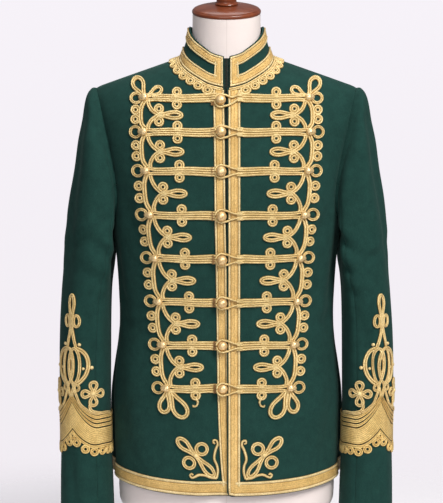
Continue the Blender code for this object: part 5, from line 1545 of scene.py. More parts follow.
def frogs(gold, binding_and_shadow):
    """The frogs of both fronts; the left ones end in a loop round the button."""
    outer_edge = LEFT_BAND + LEFT_BAND_WIDTH

    over_left = over_edge(outer_edge + 0.0060, OVER_BAND)
    over_right = over_edge(RIGHT_BAND + RIGHT_BAND_WIDTH + 0.0055, OVER_BAND - 0.0010)
    wound = Strokes()
    for row in range(len(FROGS)):
        strokes = frog(row, outer_edge - 0.0050, over_left)
        button_loop(strokes, row, outer_edge)
        braid(f"frog_left_{row + 1}", strokes, on_front(1), gold)
        inner = -button_middle(row)[0] + float(at(SHIFT, FROGS[row][0])) + BUTTON_R - 0.0020
        strokes = frog(row, inner, over_right).mapped(swung)
        braid(f"frog_right_{row + 1}", strokes, on_front(-1), gold)
        whipping(wound, row, over_right)
    # Real wound thread, its brown binding colour painted shadow beside each button.
    lay("bar_whippings", wound, on_front(-1), binding_and_shadow)


def end_knobs(brass):
    """The small acorn-shaped knobs at the outer ends of the frogs."""
    profile = [(KNOB * radius, KNOB * along) for radius, along in KNOB_PROFILE]
    points, faces = [], []
    for side in SIDES:
        place = on_front(side)
        for height, knob, _ in FROGS:
            x = knob if side > 0 else knob - float(at(SHIFT, height))
            xs = np.array((x, x + 0.0010, x + 0.0020))
            inner, seat, outer = place(xs, np.full(3, height), np.full(3, KNOB_UP))
            knob_mesh = turned_mesh(profile, seat, unit(outer - inner), 20, len(points))
            points += knob_mesh[0]
            faces += knob_mesh[1]
    dress(make("end_knobs", points, faces, brass, sharp=60.0), "gilt_button")


# Trims along the edges


def front_trim(side, gold):
    """The band up a front's edge, turned at the corner into the braid along the hem."""
    half_girth = GIRTH[-1] - SEAM
    low = HEM_BRAID_UP + HEM_BRAID / 2

    wide = LEFT_BAND_WIDTH if side > 0 else RIGHT_BAND_WIDTH

    def start(up):
        return LEFT_BAND if side > 0 else RIGHT_BAND - float(at(SHIFT, up))

    down = [(start(up) + wide / 2, up) for up in np.arange(BAND_TOP, low + 0.004, -STEP)]
    corner = (start(low) + wide / 2, low)
    stops = np.arange(corner[0] + STEP, half_girth, 0.0030)
    level = [(s, low) for s in stops] + [(half_girth, low)]
    path = np.array(down + [corner] + level)
    width = np.where(np.arange(len(path)) < len(down), wide, HEM_BRAID)
    width[len(down)] = (wide + HEM_BRAID) / 2
    strokes = Strokes()
    strokes.sweep(path, width, BAND, thick=0.0025)

    def corner_in(flat):
        first = np.array([start(up) for up in flat[:, 1]])
        across, up = rounded(flat[:, 0] - first, flat[:, 1] - HEM_BRAID_UP, CORNER_ROUND - 0.001)
        return columns_of(first + across, HEM_BRAID_UP + up)

    braid(f"front_trim_{SIDES[side]}", strokes.mapped(corner_in), on_hem(side), gold)


def corner_motif(side, gold):
    """The knot of loops in a front's lower corner."""
    strokes = Strokes()
    kx, ky = CORNER
    for across, up in CORNER_RINGS:
        strokes.ring(kx + across, ky + up, *CORNER_RING)
    drops(strokes, CORNER, CORNER_PETALS)
    foot = (kx + CORNER_FOOT[0], ky + CORNER_FOOT[1])
    for steps in CORNER_TENDRILS:
        path = flow([(foot[0] + across, foot[1] + up) for across, up in steps], 0.0016)
        width = np.full(len(path), TENDRIL)
        width[-12:] = np.linspace(TENDRIL, TENDRIL * 0.68, 12)
        strokes.sweep(path, width, ONE, 0.0002)
    strokes.bead(kx, ky, 0.0034, 0.0016)
    if side < 0:
        strokes.mapped(swung)
    braid(f"corner_motif_{SIDES[side]}", strokes, on_front(side), gold)


def neck_trim(side, gold):
    """A cord along the collar seam with a row of eyelets below it."""
    strokes = Strokes()
    first = (LEFT_BAND if side > 0 else RIGHT_BAND) + 0.0010
    end = NECK_LENGTHS[-1] - SEAM
    count = round((end - NECK_EYELET_START) / NECK_EYELET_PITCH + 0.5)
    for k in range(count):
        along = NECK_EYELET_START + (end - NECK_EYELET_START) * k / (count - 0.5)
        strokes.ring(along, NECK_EYELET_OUT, NECK_EYELET, NECK_EYELET_HOLE)
    path = straight([(first, NECK_CORD_OUT), (end, NECK_CORD_OUT)])
    strokes.sweep(path, NECK_CORD, lift=0.0005)
    braid(f"neck_trim_{SIDES[side]}", strokes, on_neck(side), gold)


def collar_trim(side, gold):
    """The braid frame of a collar half, open towards the middle of the back."""
    strokes = Strokes()
    inset = COLLAR_BRAID_IN + COLLAR_BRAID / 2
    foot = COLLAR_BRAID_FOOT + COLLAR_BRAID / 2
    end = NECK_LENGTHS[-1] - COLLAR_START_LENGTH - SEAM
    top = COLLAR_HEIGHT - inset
    path = straight([(end, top), (inset, top), (inset, foot), (end, foot)])
    strokes.sweep(path, COLLAR_BRAID, BAND, thick=0.0023)
    braid(f"collar_trim_{SIDES[side]}", strokes, on_collar(side), gold)


# Cuffs


def cuff_round():
    """Length round the sleeve from the motif's axis towards the body, for each turn."""
    out, inn = float(at(TUBE[0], CUFF_GAUGE)), float(at(TUBE[1], CUFF_GAUGE))
    share = (CUFF_AXIS_X - (out + inn) / 2) / ((out - inn) / 2)
    axis = math.acos(math.copysign(abs(share) ** (SLEEVE_SQUARE / 2), share))
    turns = axis + np.linspace(0.0, 2 * math.pi, 961)
    return run_of(sleeve_at(1, turns, np.full(len(turns), CUFF_GAUGE), 0.0)), turns


CUFF_LENGTHS, CUFF_TURNS = cuff_round()
CUFF_LENGTH = CUFF_LENGTHS[-1]


def on_sleeve(side):
    """Places a trim's point: along the round of the sleeve from the motif's axis, and its height."""

    def surface(along, height):
        return sleeve_at(side, np.interp(along % CUFF_LENGTH, CUFF_LENGTHS, CUFF_TURNS), height)

    return laid_on(surface, -side)


def cuff_line(along, at_side, at_axis):
    """Height of a line of the cuff band, by its share of the way down at the sides and the point."""
    away = np.abs(along)
    top = CUFF_TOP + CUFF_PEAK * np.maximum(1 - away / CUFF_PEAK_REACH, 0.0) ** CUFF_PEAK_POWER
    foot = CUFF_FOOT + CUFF_NOTCH * np.maximum(1 - away / CUFF_NOTCH_REACH, 0.0) ** CUFF_NOTCH_POWER
    near = np.maximum(1 - away / CUFF_NEAR, 0.0) ** 1.5
    middle, reach, rise = CUFF_BELLY
    lifted = CUFF_UP + rise * np.exp(-(((away - middle) / reach) ** 2))
    return top + (foot - top) * (at_side + (at_axis - at_side) * near) + lifted


def cuff_band(side, gold):
    """The pointed band: three cords, a broad braid, one more cord and a row of eyelets."""
    strokes = Strokes()
    half = CUFF_LENGTH / 2 - SEAM
    along = np.linspace(-half, half, 2 * int(half / STEP) + 1)
    bumps = 2 * int(half / SCALLOP_PITCH)
    for k in range(1, 2 * bumps, 2):
        middle = half * (k / bumps - 1)
        height = float(cuff_line(middle, *CUFF_EYELETS))
        strokes.ring(middle, height, SCALLOP_EYELET, SCALLOP_HOLE)
    share, radius, hole = POINT_EYELET
    strokes.ring(0.0, float(cuff_line(0.0, 0.0, share)), radius, hole)
    for k, (top, foot, axis_top, axis_foot, thick) in enumerate(CUFF_CORDS):
        one = columns_of(along, cuff_line(along, top, axis_top))
        other = columns_of(along, cuff_line(along, foot, axis_foot))
        strokes.span(one, other, WOVEN if k == CUFF_BRAID_ROW else TWO, 0.0004, thick)
    braid(f"cuff_band_{SIDES[side]}", strokes, on_sleeve(side), gold)


def oval(x, y, wide, high):
    count = max(int(3.4 * (wide + high) / STEP), 18)
    turns = circle(count)
    return columns_of(x + wide * np.cos(turns), y + high * np.sin(turns))


def above_band(out, share):
    return float(cuff_line(out, share, share)) - CUFF_UP


def thinning(line):
    """The thickness of a cord that thins out at its far end."""
    return np.interp(np.linspace(0.0, 1.0, len(line)), (0.0, 0.8, 1.0), (THICK, THICK, THICK * 0.35))


def cuff_motif(side, gold):
    """The knot of loops that stands on the cuff band's point."""
    strokes = Strokes()
    low, tip, half, cord = CUFF_TOP_LOOP
    for way in (-1, 1):
        for k, (out, height, wide, high, cord_width) in enumerate(CUFF_OVALS):
            if out or way > 0:
                path = oval(way * out, height, wide, high)
                strokes.sweep(path, cord_width, lift=0.0002 + 0.0003 * (k + (way > 0)) % 0.0009,
                              closed=True)
        for k, (cord_width, *path) in enumerate(CUFF_STRANDS):
            if k == len(CUFF_STRANDS) - 1:
                path += [(out, above_band(out, CUFF_EDGE_SHARE)) for out in CUFF_EDGE_STOPS]
            line = flow([(way * out, height) for out, height in path])
            strokes.sweep(line, cord_width, lift=0.0005 + 0.0002 * k, thick=thinning(line))
        arc = bezier(*[(way * out, height) for out, height in CUFF_ARC])
        strokes.sweep(arc, CUFF_ARC_WIDTH, lift=0.0001)
        for out, height, radius in CUFF_BEADS:
            strokes.bead(way * out, height, radius)
        quatrefoil(strokes, way)
    strokes.drop((0.0, low), (0.0, tip), half, cord, 0.0004)
    keys, leans = (np.array(column) for column in zip(*CUFF_LEAN))

    def leaned(flat):
        lean = np.interp(flat[:, 1], keys, leans)
        return columns_of(flat[:, 0] - lean, flat[:, 1] + CUFF_UP)

    strokes.mapped(leaned)
    braid(f"cuff_motif_{SIDES[side]}", strokes, on_sleeve(side), gold)


def quatrefoil(strokes, way):
    """Four petals round a knot, with a tail that runs into the band."""
    middle, level, reach, half, cord, heart = QUATREFOIL
    cx = way * middle
    for k, (dx, dy) in enumerate(((0, 1), (0, -1), (1, 0), (-1, 0))):
        foot = (cx + dx * 0.0010, level + dy * 0.0010)
        tip = (cx + dx * reach * 0.94, level + dy * reach)
        strokes.drop(foot, tip, half, cord, 0.0002 * (k % 2))
    strokes.bead(cx, level, heart, 0.0014)
    points = [(middle + out, level - reach * share) for out, share in TAIL_STEPS]
    points += [(middle + out, above_band(middle + out, share)) for out, share in TAIL_STOPS]
    tail = flow([(way * x, y) for x, y in points])
    strokes.sweep(tail, QUATREFOIL_TAIL, lift=0.0006, thick=thinning(tail))


# Turned pieces


def turned_mesh(profile, seat, way, sides, start=0):
    """Points and faces of a body turned about the line from seat along way."""
    turn = Vector((0.0, 0.0, 1.0)).rotation_difference(Vector(way))
    seat, points, rings, faces = Vector(seat), [], [], []
    for radius, along in profile:
        count = 1 if radius == 0.0 else sides
        rings.append(list(range(start + len(points), start + len(points) + count)))
        for k in range(count):
            a = 2 * math.pi * k / sides
            spoke = Vector((radius * math.cos(a), radius * math.sin(a), along))
            points.append(tuple(seat + turn @ spoke))
    for low, high in zip(rings, rings[1:]):
        for k in range(sides):
            n = (k + 1) % sides
            if len(low) == 1:
                faces.append([low[0], high[n], high[k]])
            elif len(high) == 1:
                faces.append([low[k], low[n], high[0]])
            else:
                faces.append([low[k], low[n], high[n], high[k]])
    return points, faces


def turned(name, profile, seat, way, sides, finish, sharp=40.0):
    points, faces = turned_mesh(profile, seat, way, sides)
    return make(name, points, faces, finish, sharp=sharp)


def dome(radius, height, foot):
    """A profile from a foot out to a rounded rim and over a dome."""
    rim = height * 0.36
    rows = [(0.0, 0.0), (foot, 0.0), (foot, height * 0.10), (radius * 0.86, height * 0.20)]
    rows += [(radius * 0.97, height * 0.28), (radius, rim)]
    for k in range(1, DOME_STEPS):
        turn = math.pi / 2 * k / DOME_STEPS
        rows.append((radius * math.cos(turn) ** 0.82, rim + (height - rim) * math.sin(turn)))
    return rows + [(0.0, height)]


def buttons(brass):
    """The domed buttons, each seated on the right front's band."""
    for row in range(len(FROGS)):
        x, height = button_middle(row)
        offsets = np.array((0.0, BUTTON_UP, 0.01))
        low, seat, high = on_front(-1)(np.full(3, -x), np.full(3, height), offsets)
        name = f"button_{row + 1}"
        profile = dome(BUTTON_R, BUTTON_HEIGHT, BUTTON_FOOT)
        piece = turned(f"{name}_dome", profile, seat, unit(high - low), 48, brass, 45.0)
        dress(piece, "gilt_button", name)


# Zip


def zip_fastener(tape, metal):
    """The zip's tape behind the meeting edges and up the collar's opening, and its teeth."""
    heights = np.arange(ZIP_FOOT, float(NECK_LINE[0, 2]) - 0.002, 0.004)
    rows = []
    x = np.linspace(-ZIP_HALF, ZIP_HALF, 9)
    for height in heights:
        level = np.full(len(x), height)
        y = depth(x, level, -1) + float(tuck(0.0, height))
        normal = torso_normal(x, depth(x, level, -1), level)
        rows.append(spot(x, y, HEM_Z + height) - normal * (CLOTH + ZIP_GAP))
    for up in np.arange(0.002, COLLAR_HEIGHT - 0.002, 0.004):
        edge = collar_at(np.array(COLLAR_START), np.array(up))
        behind = COLLAR_CLOTH + ZIP_GAP + 0.0008 * np.abs(x / ZIP_HALF) ** 2
        rows.append(spot(x, edge[1] + behind, edge[2]))
    outer = np.array(rows)
    normals = grid_normals(outer, 1)
    piece = shell("zip_tape_pair", outer, outer - normals * ZIP_THICK, tape)
    dress(piece, "zip_tape", "zip")

    middle = outer[:, 4]
    run = run_of(middle)
    points, faces = [], []
    for k in range(int(run[-1] / TOOTH_PITCH)):
        reached = (k + 0.5) * TOOTH_PITCH + np.array((0.0, 0.002))
        here, ahead = spot(*(np.interp(reached, run, column) for column in middle.T))
        way = unit(ahead - here)
        out = unit(np.cross((1.0, 0.0, 0.0), way))
        side = 1 if k % 2 else -1
        start = len(points)
        for across, half, high in TOOTH:
            for along, up in ((-half, 0), (-half, 1), (half, 1), (half, 0)):
                seat = here - np.array((side * across, 0.0, 0.0))
                points.append(seat + way * along + out * (TOOTH_SINK + up * high))
        faces += grid_faces(3, 4, start, wrap=True).tolist()
        faces += [list(range(start + 3, start - 1, -1)), list(range(start + 8, start + 12))]
    dress(make("zip_teeth", points, faces, metal), "zip_tape")


# Dress form and stand


def form_ridge(x):
    """Height of the form's shoulder line over the hem."""
    start, reach, fall = FORM_SHOULDER_END
    end = float(smooth((abs(x) - start) / reach)) ** 2
    return float(ridge(x)) - FORM_RIDGE_DROP - fall * end


FORM_HALF = sampled(FORM, 1)
FORM_DEEP = {-1: sampled(FORM, 2), 1: sampled(FORM, 3)}


def form_y(x, height, face):
    across = min(abs(x) / float(at(FORM_HALF, height)), 1.0)
    y = float(at(FORM_DEEP[face], height)) * closing(across, SQUARE)
    if height > UNDERARM:
        y *= closing(min((height - UNDERARM) / (form_ridge(x) - UNDERARM), 1.0), SHOULDER_SQUARE)
    return face * y


def neck_ring_point(level, angle):
    """A point of the form's neck, level running from 0 at its foot to the last row's number."""
    if level < 1:
        low = neck_foot(angle)
        high = neck_ring_point(1, angle)
        return low + (high - low) * level
    front_h, back_h, half, front, back = (read(FORM_NECK, level, k) for k in range(2, 7))
    c = math.cos(angle)
    y = (front + back) / 2 - (back - front) / 2 * c
    height = (front_h + back_h) / 2 - (back_h - front_h) / 2 * c
    return np.array((half * math.sin(angle), y, HEM_Z + height))


def neck_foot(angle):
    _, side_h, front_h, back_h, half, front, back = FORM_NECK[0]
    c = math.cos(angle)
    y = front * c if c > 0 else -back * c
    end = front_h if c > 0 else back_h
    return np.array((half * math.sin(angle), y, HEM_Z + side_h + (end - side_h) * c * c))


def dress_form(linen):
    """The form's torso as one smooth closed body, from its rounded foot to its neck."""
    quarter = FORM_QUARTER_NECK + FORM_QUARTER_SHOULDER
    count = 4 * quarter
    turns = circle(count)
    steps = [min(k % (2 * quarter), 2 * quarter - k % (2 * quarter)) for k in range(count)]
    sides = np.where(turns <= math.pi, 1.0, -1.0)
    face_of = np.where(np.cos(turns) > 0, -1, 1)
    rings = []
    foot_heights = np.linspace(FORM[0][0], -0.035, 9)
    for height in np.concatenate((foot_heights, np.linspace(-0.020, UNDERARM, 22))):
        x = at(FORM_HALF, height) * signed_power(np.sin(turns), 2 / SQUARE)
        full = np.where(face_of < 0, -at(FORM_DEEP[-1], height), at(FORM_DEEP[1], height))
        y = full * np.abs(np.cos(turns)) ** (2 / SQUARE)
        rings.append(spot(x, y, HEM_Z + height))
    chest = np.abs(rings[-1][:, 0]) / float(at(FORM_HALF, UNDERARM))

    def around(k):
        angle = math.pi / 2 * steps[k] / FORM_QUARTER_NECK
        return angle if face_of[k] < 0 else math.pi - angle

    shoulder = float(at(FORM_HALF, FORM_SHOULDER_HEIGHT)) - FORM_SHOULDER_IN
    neck_half = FORM_NECK[0][4]
    for r in range(1, FORM_UPPER_ROWS + 1):
        lift = math.sin(math.pi / 2 * r / FORM_UPPER_ROWS)
        line = []
        for k in range(count):
            if steps[k] <= FORM_QUARTER_NECK:
                end = neck_foot(around(k))
                top_x, top_y, top_height = end[0], abs(end[1]), end[2] - HEM_Z
            else:
                share = (steps[k] - FORM_QUARTER_NECK) / FORM_QUARTER_SHOULDER
                top_x = neck_half + (shoulder - neck_half) * share
                top_y, top_height = 0.0, form_ridge(top_x)
            height = UNDERARM + (top_height - UNDERARM) * lift
            x = min(chest[k], 1.0) * float(at(FORM_HALF, height))
            x += (top_x - x) * lift**3
            y = face_of[k] * top_y if r == FORM_UPPER_ROWS else form_y(x, height, int(face_of[k]))
            line.append((sides[k] * x, y, HEM_Z + height))
        rings.append(np.array(line))
    points = np.concatenate(rings)
    faces = grid_faces(len(rings), count, wrap=True).tolist()
    faces.append(list(range(count - 1, -1, -1)))

    neck = [k for k in range(count) if steps[k] <= FORM_QUARTER_NECK]
    ring = [len(points) - count + k for k in neck]
    made = [points]
    total = len(points)
    last = len(FORM_NECK) - 1
    for level in np.linspace(0.0, last, FORM_NECK_ROWS * last + 1)[1:]:
        line = [neck_ring_point(level, around(k)) * (sides[k], 1.0, 1.0) for k in neck]
        made.append(np.array(line))
        new = list(range(total, total + len(neck)))
        total += len(neck)
        for k in range(len(neck)):
            n = (k + 1) % len(neck)
            faces.append([ring[k], ring[n], new[n], new[k]])
        ring = new
    faces.append(ring)
    piece = make("form_linen", np.concatenate(made), faces, linen, sharp=45.0)
    solid = bmesh.new()
    solid.from_mesh(piece.data)
    bmesh.ops.remove_doubles(solid, verts=solid.verts, dist=0.00005)
    bmesh.ops.recalc_face_normals(solid, faces=solid.faces)
    solid.to_mesh(piece.data)
    solid.free()
    return dress(piece, "linen", "form_torso")


def rounded_profile(rows, radius):
    return [(radius * share, along) for share, along in rows]


def turned_piece(node, profile, seat, way, sides, finish, slot="varnished_wood"):
    dress(turned(f"{node}_turned", profile, seat, way, sides, finish), slot, node)


def stand(wood, metal):
    """The neck cap with its finial, the pole and the base."""
    _, _, front_h, back_h, _, front, back = FORM_NECK[-1]
    middle = np.array((0.0, (front + back) / 2, HEM_Z + (front_h + back_h) / 2))
    way = unit(np.array((0.0, -(back_h - front_h), back - front)))
    seat = middle + way * JOINT_GAP
    turned_piece("neck_cap", rounded_profile(CAP, CAP_R), seat, way, 96, wood)
    top = seat + way * (CAP[-1][1] + JOINT_GAP)
    turned_piece("finial", rounded_profile(FINIAL, FINIAL_R), top, way, 64, wood)
    up = (0.0, 0.0, 1.0)
    low = BASE_H + JOINT_GAP
    length = HEM_Z + FORM[0][0] - BASE_H - 2 * JOINT_GAP
    head = [(radius, length - drop) for radius, drop in POLE_HEAD]
    turned_piece("pole", POLE_FOOT + head, (0.0, 0.0, low), up, 64, metal, "stand_metal")
    turned_piece("base", rounded_profile(BASE, BASE_R), (0.0, 0.0, 0.0), up, 128, wood)


# Materials


class Wiring:
    """The nodes of a new material or world, being wired."""

    def __init__(self, kind, name):
        self.made = kind.new(name)
        self.made.use_nodes = True
        self.tree = self.made.node_tree

    def node(self, kind, *links, **settings):
        """Adds a node; each link is (input, socket or value)."""
        made = self.tree.nodes.new(kind)
        for key, value in settings.items():
            setattr(made, key, value)
        for socket, value in links:
            if hasattr(value, "is_output"):
                self.tree.links.new(value, made.inputs[socket])
            else:
                made.inputs[socket].default_value = value
        return made

    def parts(self, vector):
        return self.node("ShaderNodeSeparateXYZ", (0, vector)).outputs

    def spread(self, value, *links, **settings):
        """A value carried from one range to another."""
        made = self.node("ShaderNodeMapRange", ("Value", value), *links, **settings)
        return made.outputs["Result"]

    def ramp(self, factor, stops):
        made = self.node("ShaderNodeValToRGB", ("Fac", factor))
        ramp = made.color_ramp
        while len(ramp.elements) < len(stops):
            ramp.elements.new(0.5)
        for element, (place, colour) in zip(ramp.elements, stops):
            element.position = place
            element.color = (*colour, 1.0)
        return made.outputs["Color"]


class Shade(Wiring):
    """A material's nodes; the settings are those of its shader."""

    def __init__(self, name, **settings):
        super().__init__(bpy.data.materials, name)
        self.shader = self.tree.nodes["Principled BSDF"]
        for key, value in settings.items():
            self.shader.inputs[key.replace("_", " ")].default_value = value

    def place(self):
        return self.node("ShaderNodeTexCoord").outputs["Object"]

    def strand(self):
        """Along and across coordinates of a braid's strands."""
        return self.node("ShaderNodeUVMap", uv_map="strand").outputs["UV"]

    def noise(self, vector, scale, detail=3.0, roughness=0.5, distortion=0.0):
        return self.node(
            "ShaderNodeTexNoise",
            ("Vector", vector),
            ("Scale", scale),
            ("Detail", detail),
            ("Roughness", roughness),
            ("Distortion", distortion),
        ).outputs["Fac"]

    def stretched(self, vector, scale):
        return self.node("ShaderNodeMapping", ("Vector", vector), ("Scale", scale)).outputs["Vector"]

    def math(self, operation, a, b=0.0, c=0.0):
        return self.node("ShaderNodeMath", (0, a), (1, b), (2, c), operation=operation).outputs[0]

    def times(self, a, b):
        return self.math("MULTIPLY", a, b)

    def plus(self, a, b):
        return self.math("ADD", a, b)

    def wave(self, a, scale):
        return self.math("SINE", self.times(a, scale))

    def mix(self, factor, a, b, blend="MIX"):
        """Mixes two colours, each a socket or three values."""
        a, b = (tone if hasattr(tone, "is_output") else (*tone, 1.0) for tone in (a, b))
        links = (0, factor), (6, a), (7, b)
        return self.node("ShaderNodeMix", *links, data_type="RGBA", blend_type=blend).outputs[2]

    def bump(self, height, distance, normal=None, strength=1.0):
        links = [("Height", height), ("Distance", distance), ("Strength", strength)]
        if normal is not None:
            links.append(("Normal", normal))
        return self.node("ShaderNodeBump", *links).outputs["Normal"]

    def finish(self, colour=None, normal=None, roughness=None):
        for socket, value in (("Base Color", colour), ("Normal", normal), ("Roughness", roughness)):
            if value is not None:
                self.tree.links.new(value, self.shader.inputs[socket])
        return self.made


def wool_cloth():
    """Milled wool: a short nap over a hidden weave, its colour a little uneven."""
    shade = Shade("milled_wool", Roughness=0.95, Sheen_Weight=0.06, Sheen_Roughness=0.5,
                  Sheen_Tint=(0.45, 0.75, 0.66, 1.0), Specular_IOR_Level=0.12)
    place = shade.place()
    broad = shade.noise(place, 14.0, 4.0, 0.6)
    clumps = shade.noise(shade.stretched(place, (1.0, 1.0, 0.45)), 260.0, 3.0, 0.6)
    fibres = shade.noise(shade.stretched(place, (1.0, 1.0, 0.28)), 1500.0, 2.0, 0.7)
    patches = shade.noise(place, 75.0, 4.0, 0.65)
    base = shade.ramp(broad, ((0.30, (0.0085, 0.0370, 0.0300)), (0.72, (0.0125, 0.0500, 0.0415))))
    flecks = shade.ramp(fibres, ((0.45, (0.0065, 0.0300, 0.0245)), (0.75, (0.0260, 0.0780, 0.0660))))
    colour = shade.mix(0.38, base, flecks)
    colour = shade.mix(shade.times(clumps, 0.35), colour, (0.0160, 0.0590, 0.0500))
    cloudy = shade.ramp(patches, ((0.30, (0.82, 0.82, 0.83)), (0.72, (1.12, 1.12, 1.11))))
    colour = shade.mix(1.0, colour, cloudy, "MULTIPLY")
    height = shade.plus(shade.times(clumps, 0.7), shade.times(fibres, 0.6))
    normal = shade.bump(height, 0.00055, strength=0.55)
    return shade.finish(colour, normal)


def gold_thread(name, light, middle, dark, pitch, slant, strands=0):
    """Plaited gold thread: slanting threads on each strand, with painted shade in its grooves and
    between its threads.

    With a count of strands the braid is a flat band of that many: pale ribs, a deeper middle, and
    painted shade beside the ribs and at its edges.
    """
    shade = Shade(name, Roughness=0.44, Metallic=0.20, Specular_IOR_Level=0.6, Sheen_Weight=0.12,
                  Sheen_Roughness=0.4, Sheen_Tint=(1.0, 0.88, 0.60, 1.0))
    along, across, _ = shade.parts(shade.strand())
    inside = shade.math("FRACT", across)
    off = shade.math("ABSOLUTE", shade.math("SUBTRACT", inside, 0.5))
    groove = shade.math("POWER", shade.times(off, 2.0), 2.2)
    place = shade.place()
    wander = shade.noise(place, 420.0, 2.0)
    patch = shade.noise(place, 70.0)
    glints = shade.noise(place, 520.0, 2.0, 0.6)
    phase = shade.plus(shade.times(along, pitch), shade.times(off, slant))
    phase = shade.plus(phase, shade.times(wander, 0.35))
    wave = shade.wave(phase, 2 * math.pi)
    thread = shade.math("MULTIPLY_ADD", wave, 0.5, 0.5)
    if strands:
        half = strands / 2
        away = shade.math("ABSOLUTE", shade.math("SUBTRACT", across, half))
        edge = shade.math("DIVIDE", away, half)
        # Painted shade: dark at the groove beside each rib and at the band's outer edges; the pale
        # ribs and deeper middle are its own tones.
        colour = shade.ramp(
            edge,
            ((0.0, middle), (0.51, middle), (0.58, dark), (0.66, light), (0.94, light), (1.0, dark)),
        )
        lines = shade.wave(across, 6 * math.pi)
        fine = shade.math("MULTIPLY_ADD", lines, 0.12, 0.13)
        colour = shade.mix(fine, colour, dark)
    else:
        # Painted shading: each cord lighter along its crest, darker and browner down into its
        # grooves.
        colour = shade.ramp(groove, ((0.10, light), (0.48, middle), (0.92, dark)))
    # Painted shade: darker in the hollows between the slanting threads.
    colour = shade.mix(shade.times(shade.math("SUBTRACT", 1.0, thread), 0.34), colour, dark)
    tint = shade.ramp(patch, ((0.30, (0.84, 0.76, 0.62)), (0.66, (1.06, 1.05, 1.03))))
    colour = shade.mix(0.8, colour, tint, "MULTIPLY")
    # Painted highlights: random bright glints scattered over the threads.
    painted_glints = shade.ramp(glints, ((0.34, (0.72, 0.66, 0.56)), (0.62, (1.12, 1.12, 1.14))))
    colour = shade.mix(0.7, colour, painted_glints, "MULTIPLY")
    height = shade.plus(shade.times(thread, 0.8), shade.times(glints, 0.7))
    return shade.finish(colour, shade.bump(height, 0.00040, strength=0.9))


def gilt():
    """Soft gilt metal with a little wear and dust in its finish."""
    shade = Shade("gilt", Metallic=0.55, Roughness=0.38, Specular_IOR_Level=0.6, Coat_Weight=0.20,
                  Coat_Roughness=0.30)
    place = shade.place()
    wear = shade.noise(place, 240.0, 4.0, 0.6)
    spots = shade.noise(place, 900.0, 2.0)
    colour = shade.ramp(wear, ((0.32, (0.72, 0.44, 0.17)), (0.60, (0.98, 0.71, 0.36))))
    rough = shade.math("MULTIPLY_ADD", wear, 0.24, 0.28)
    return shade.finish(colour, shade.bump(spots, 0.00010, strength=0.5), rough)


def covered_knob():
    """Knobs covered in fine gold netting."""
    shade = Shade("covered_knob", Metallic=0.50, Roughness=0.26, Coat_Weight=0.35,
                  Coat_Roughness=0.16)
    place = shade.place()
    ribs = shade.node("ShaderNodeTexWave", ("Vector", place), ("Scale", 330.0), ("Distortion", 1.5),
                      ("Detail", 2.0), bands_direction="Z").outputs["Fac"]
    net = shade.noise(place, 700.0, 2.0)
    colour = shade.ramp(ribs, ((0.10, (0.70, 0.43, 0.17)), (0.75, (1.0, 0.78, 0.42))))
    height = shade.plus(ribs, shade.times(net, 0.5))
    return shade.finish(colour, shade.bump(height, 0.00018, strength=0.45))


def linen_cover():
    """Fine cream linen, with a faint seam down the middle of the front and the back."""
    shade = Shade("cream_linen", Roughness=0.88, Sheen_Weight=0.12, Sheen_Roughness=0.5,
                  Specular_IOR_Level=0.2)
    place = shade.place()
    x, _, z = shade.parts(place)
    weft = shade.wave(z, LINEN_WEAVE)
    warp = shade.wave(x, LINEN_WEAVE)
    weave = shade.times(weft, warp)
    slub = shade.noise(shade.stretched(place, (1.0, 1.0, 7.0)), 90.0)
    mottle = shade.noise(place, 9.0)
    colour = shade.ramp(mottle, ((0.30, (0.820, 0.725, 0.690)), (0.70, (0.890, 0.800, 0.765))))
    colour = shade.mix(shade.times(slub, 0.10), colour, (0.66, 0.58, 0.52))
    seam = shade.math("COMPARE", x, 0.0, 0.0006)
    colour = shade.mix(shade.times(seam, 0.22), colour, (0.50, 0.42, 0.37))
    height = shade.plus(shade.times(weave, 0.35), slub)
    height = shade.math("SUBTRACT", height, shade.times(seam, 1.2))
    return shade.finish(colour, shade.bump(height, 0.00025, strength=0.5))


def turned_wood():
    """Red-brown varnished wood, its grain running across the turned pieces."""
    shade = Shade("varnished_mahogany", Roughness=0.34, Coat_Weight=0.45, Coat_Roughness=0.10,
                  Specular_IOR_Level=0.35)
    place = shade.place()
    grain = shade.noise(shade.stretched(place, (1.5, 14.0, 30.0)), 7.0, 5.0, 0.62, 1.2)
    pores = shade.noise(shade.stretched(place, (4.0, 60.0, 60.0)), 18.0, 3.0, 0.6)
    browns = (0.095, 0.018, 0.006), (0.200, 0.046, 0.015), (0.310, 0.082, 0.028)
    colour = shade.ramp(grain, tuple(zip((0.25, 0.50, 0.78), browns)))
    colour = shade.mix(shade.times(pores, 0.30), colour, (0.070, 0.014, 0.006))
    rough = shade.math("MULTIPLY_ADD", pores, 0.20, 0.22)
    return shade.finish(colour, shade.bump(pores, 0.00010, strength=0.35), rough)


def brushed_metal():
    """Plain brushed steel."""
    shade = Shade("brushed_steel", Metallic=1.0, Roughness=0.35)
    place = shade.place()
    lines = shade.noise(shade.stretched(place, (1.0, 1.0, 60.0)), 60.0)
    colour = shade.ramp(lines, ((0.3, (0.42, 0.41, 0.39)), (0.7, (0.60, 0.58, 0.55))))
    rough = shade.math("MULTIPLY_ADD", lines, 0.25, 0.22)
    return shade.finish(colour, shade.bump(lines, 0.00006, strength=0.4), rough)


def zip_cloth():
    """The zip's dark twill tape."""
    shade = Shade("zip_twill", Roughness=0.85, Specular_IOR_Level=0.25)
    place = shade.place()
    x, _, z = shade.parts(place)
    twill = shade.wave(shade.plus(x, z), ZIP_TWILL)
    mottle = shade.noise(place, 120.0)
    colour = shade.ramp(mottle, ((0.3, (0.0050, 0.0200, 0.0150)), (0.7, (0.0110, 0.0330, 0.0260))))
    return shade.finish(colour, shade.bump(twill, 0.00015, strength=0.6))


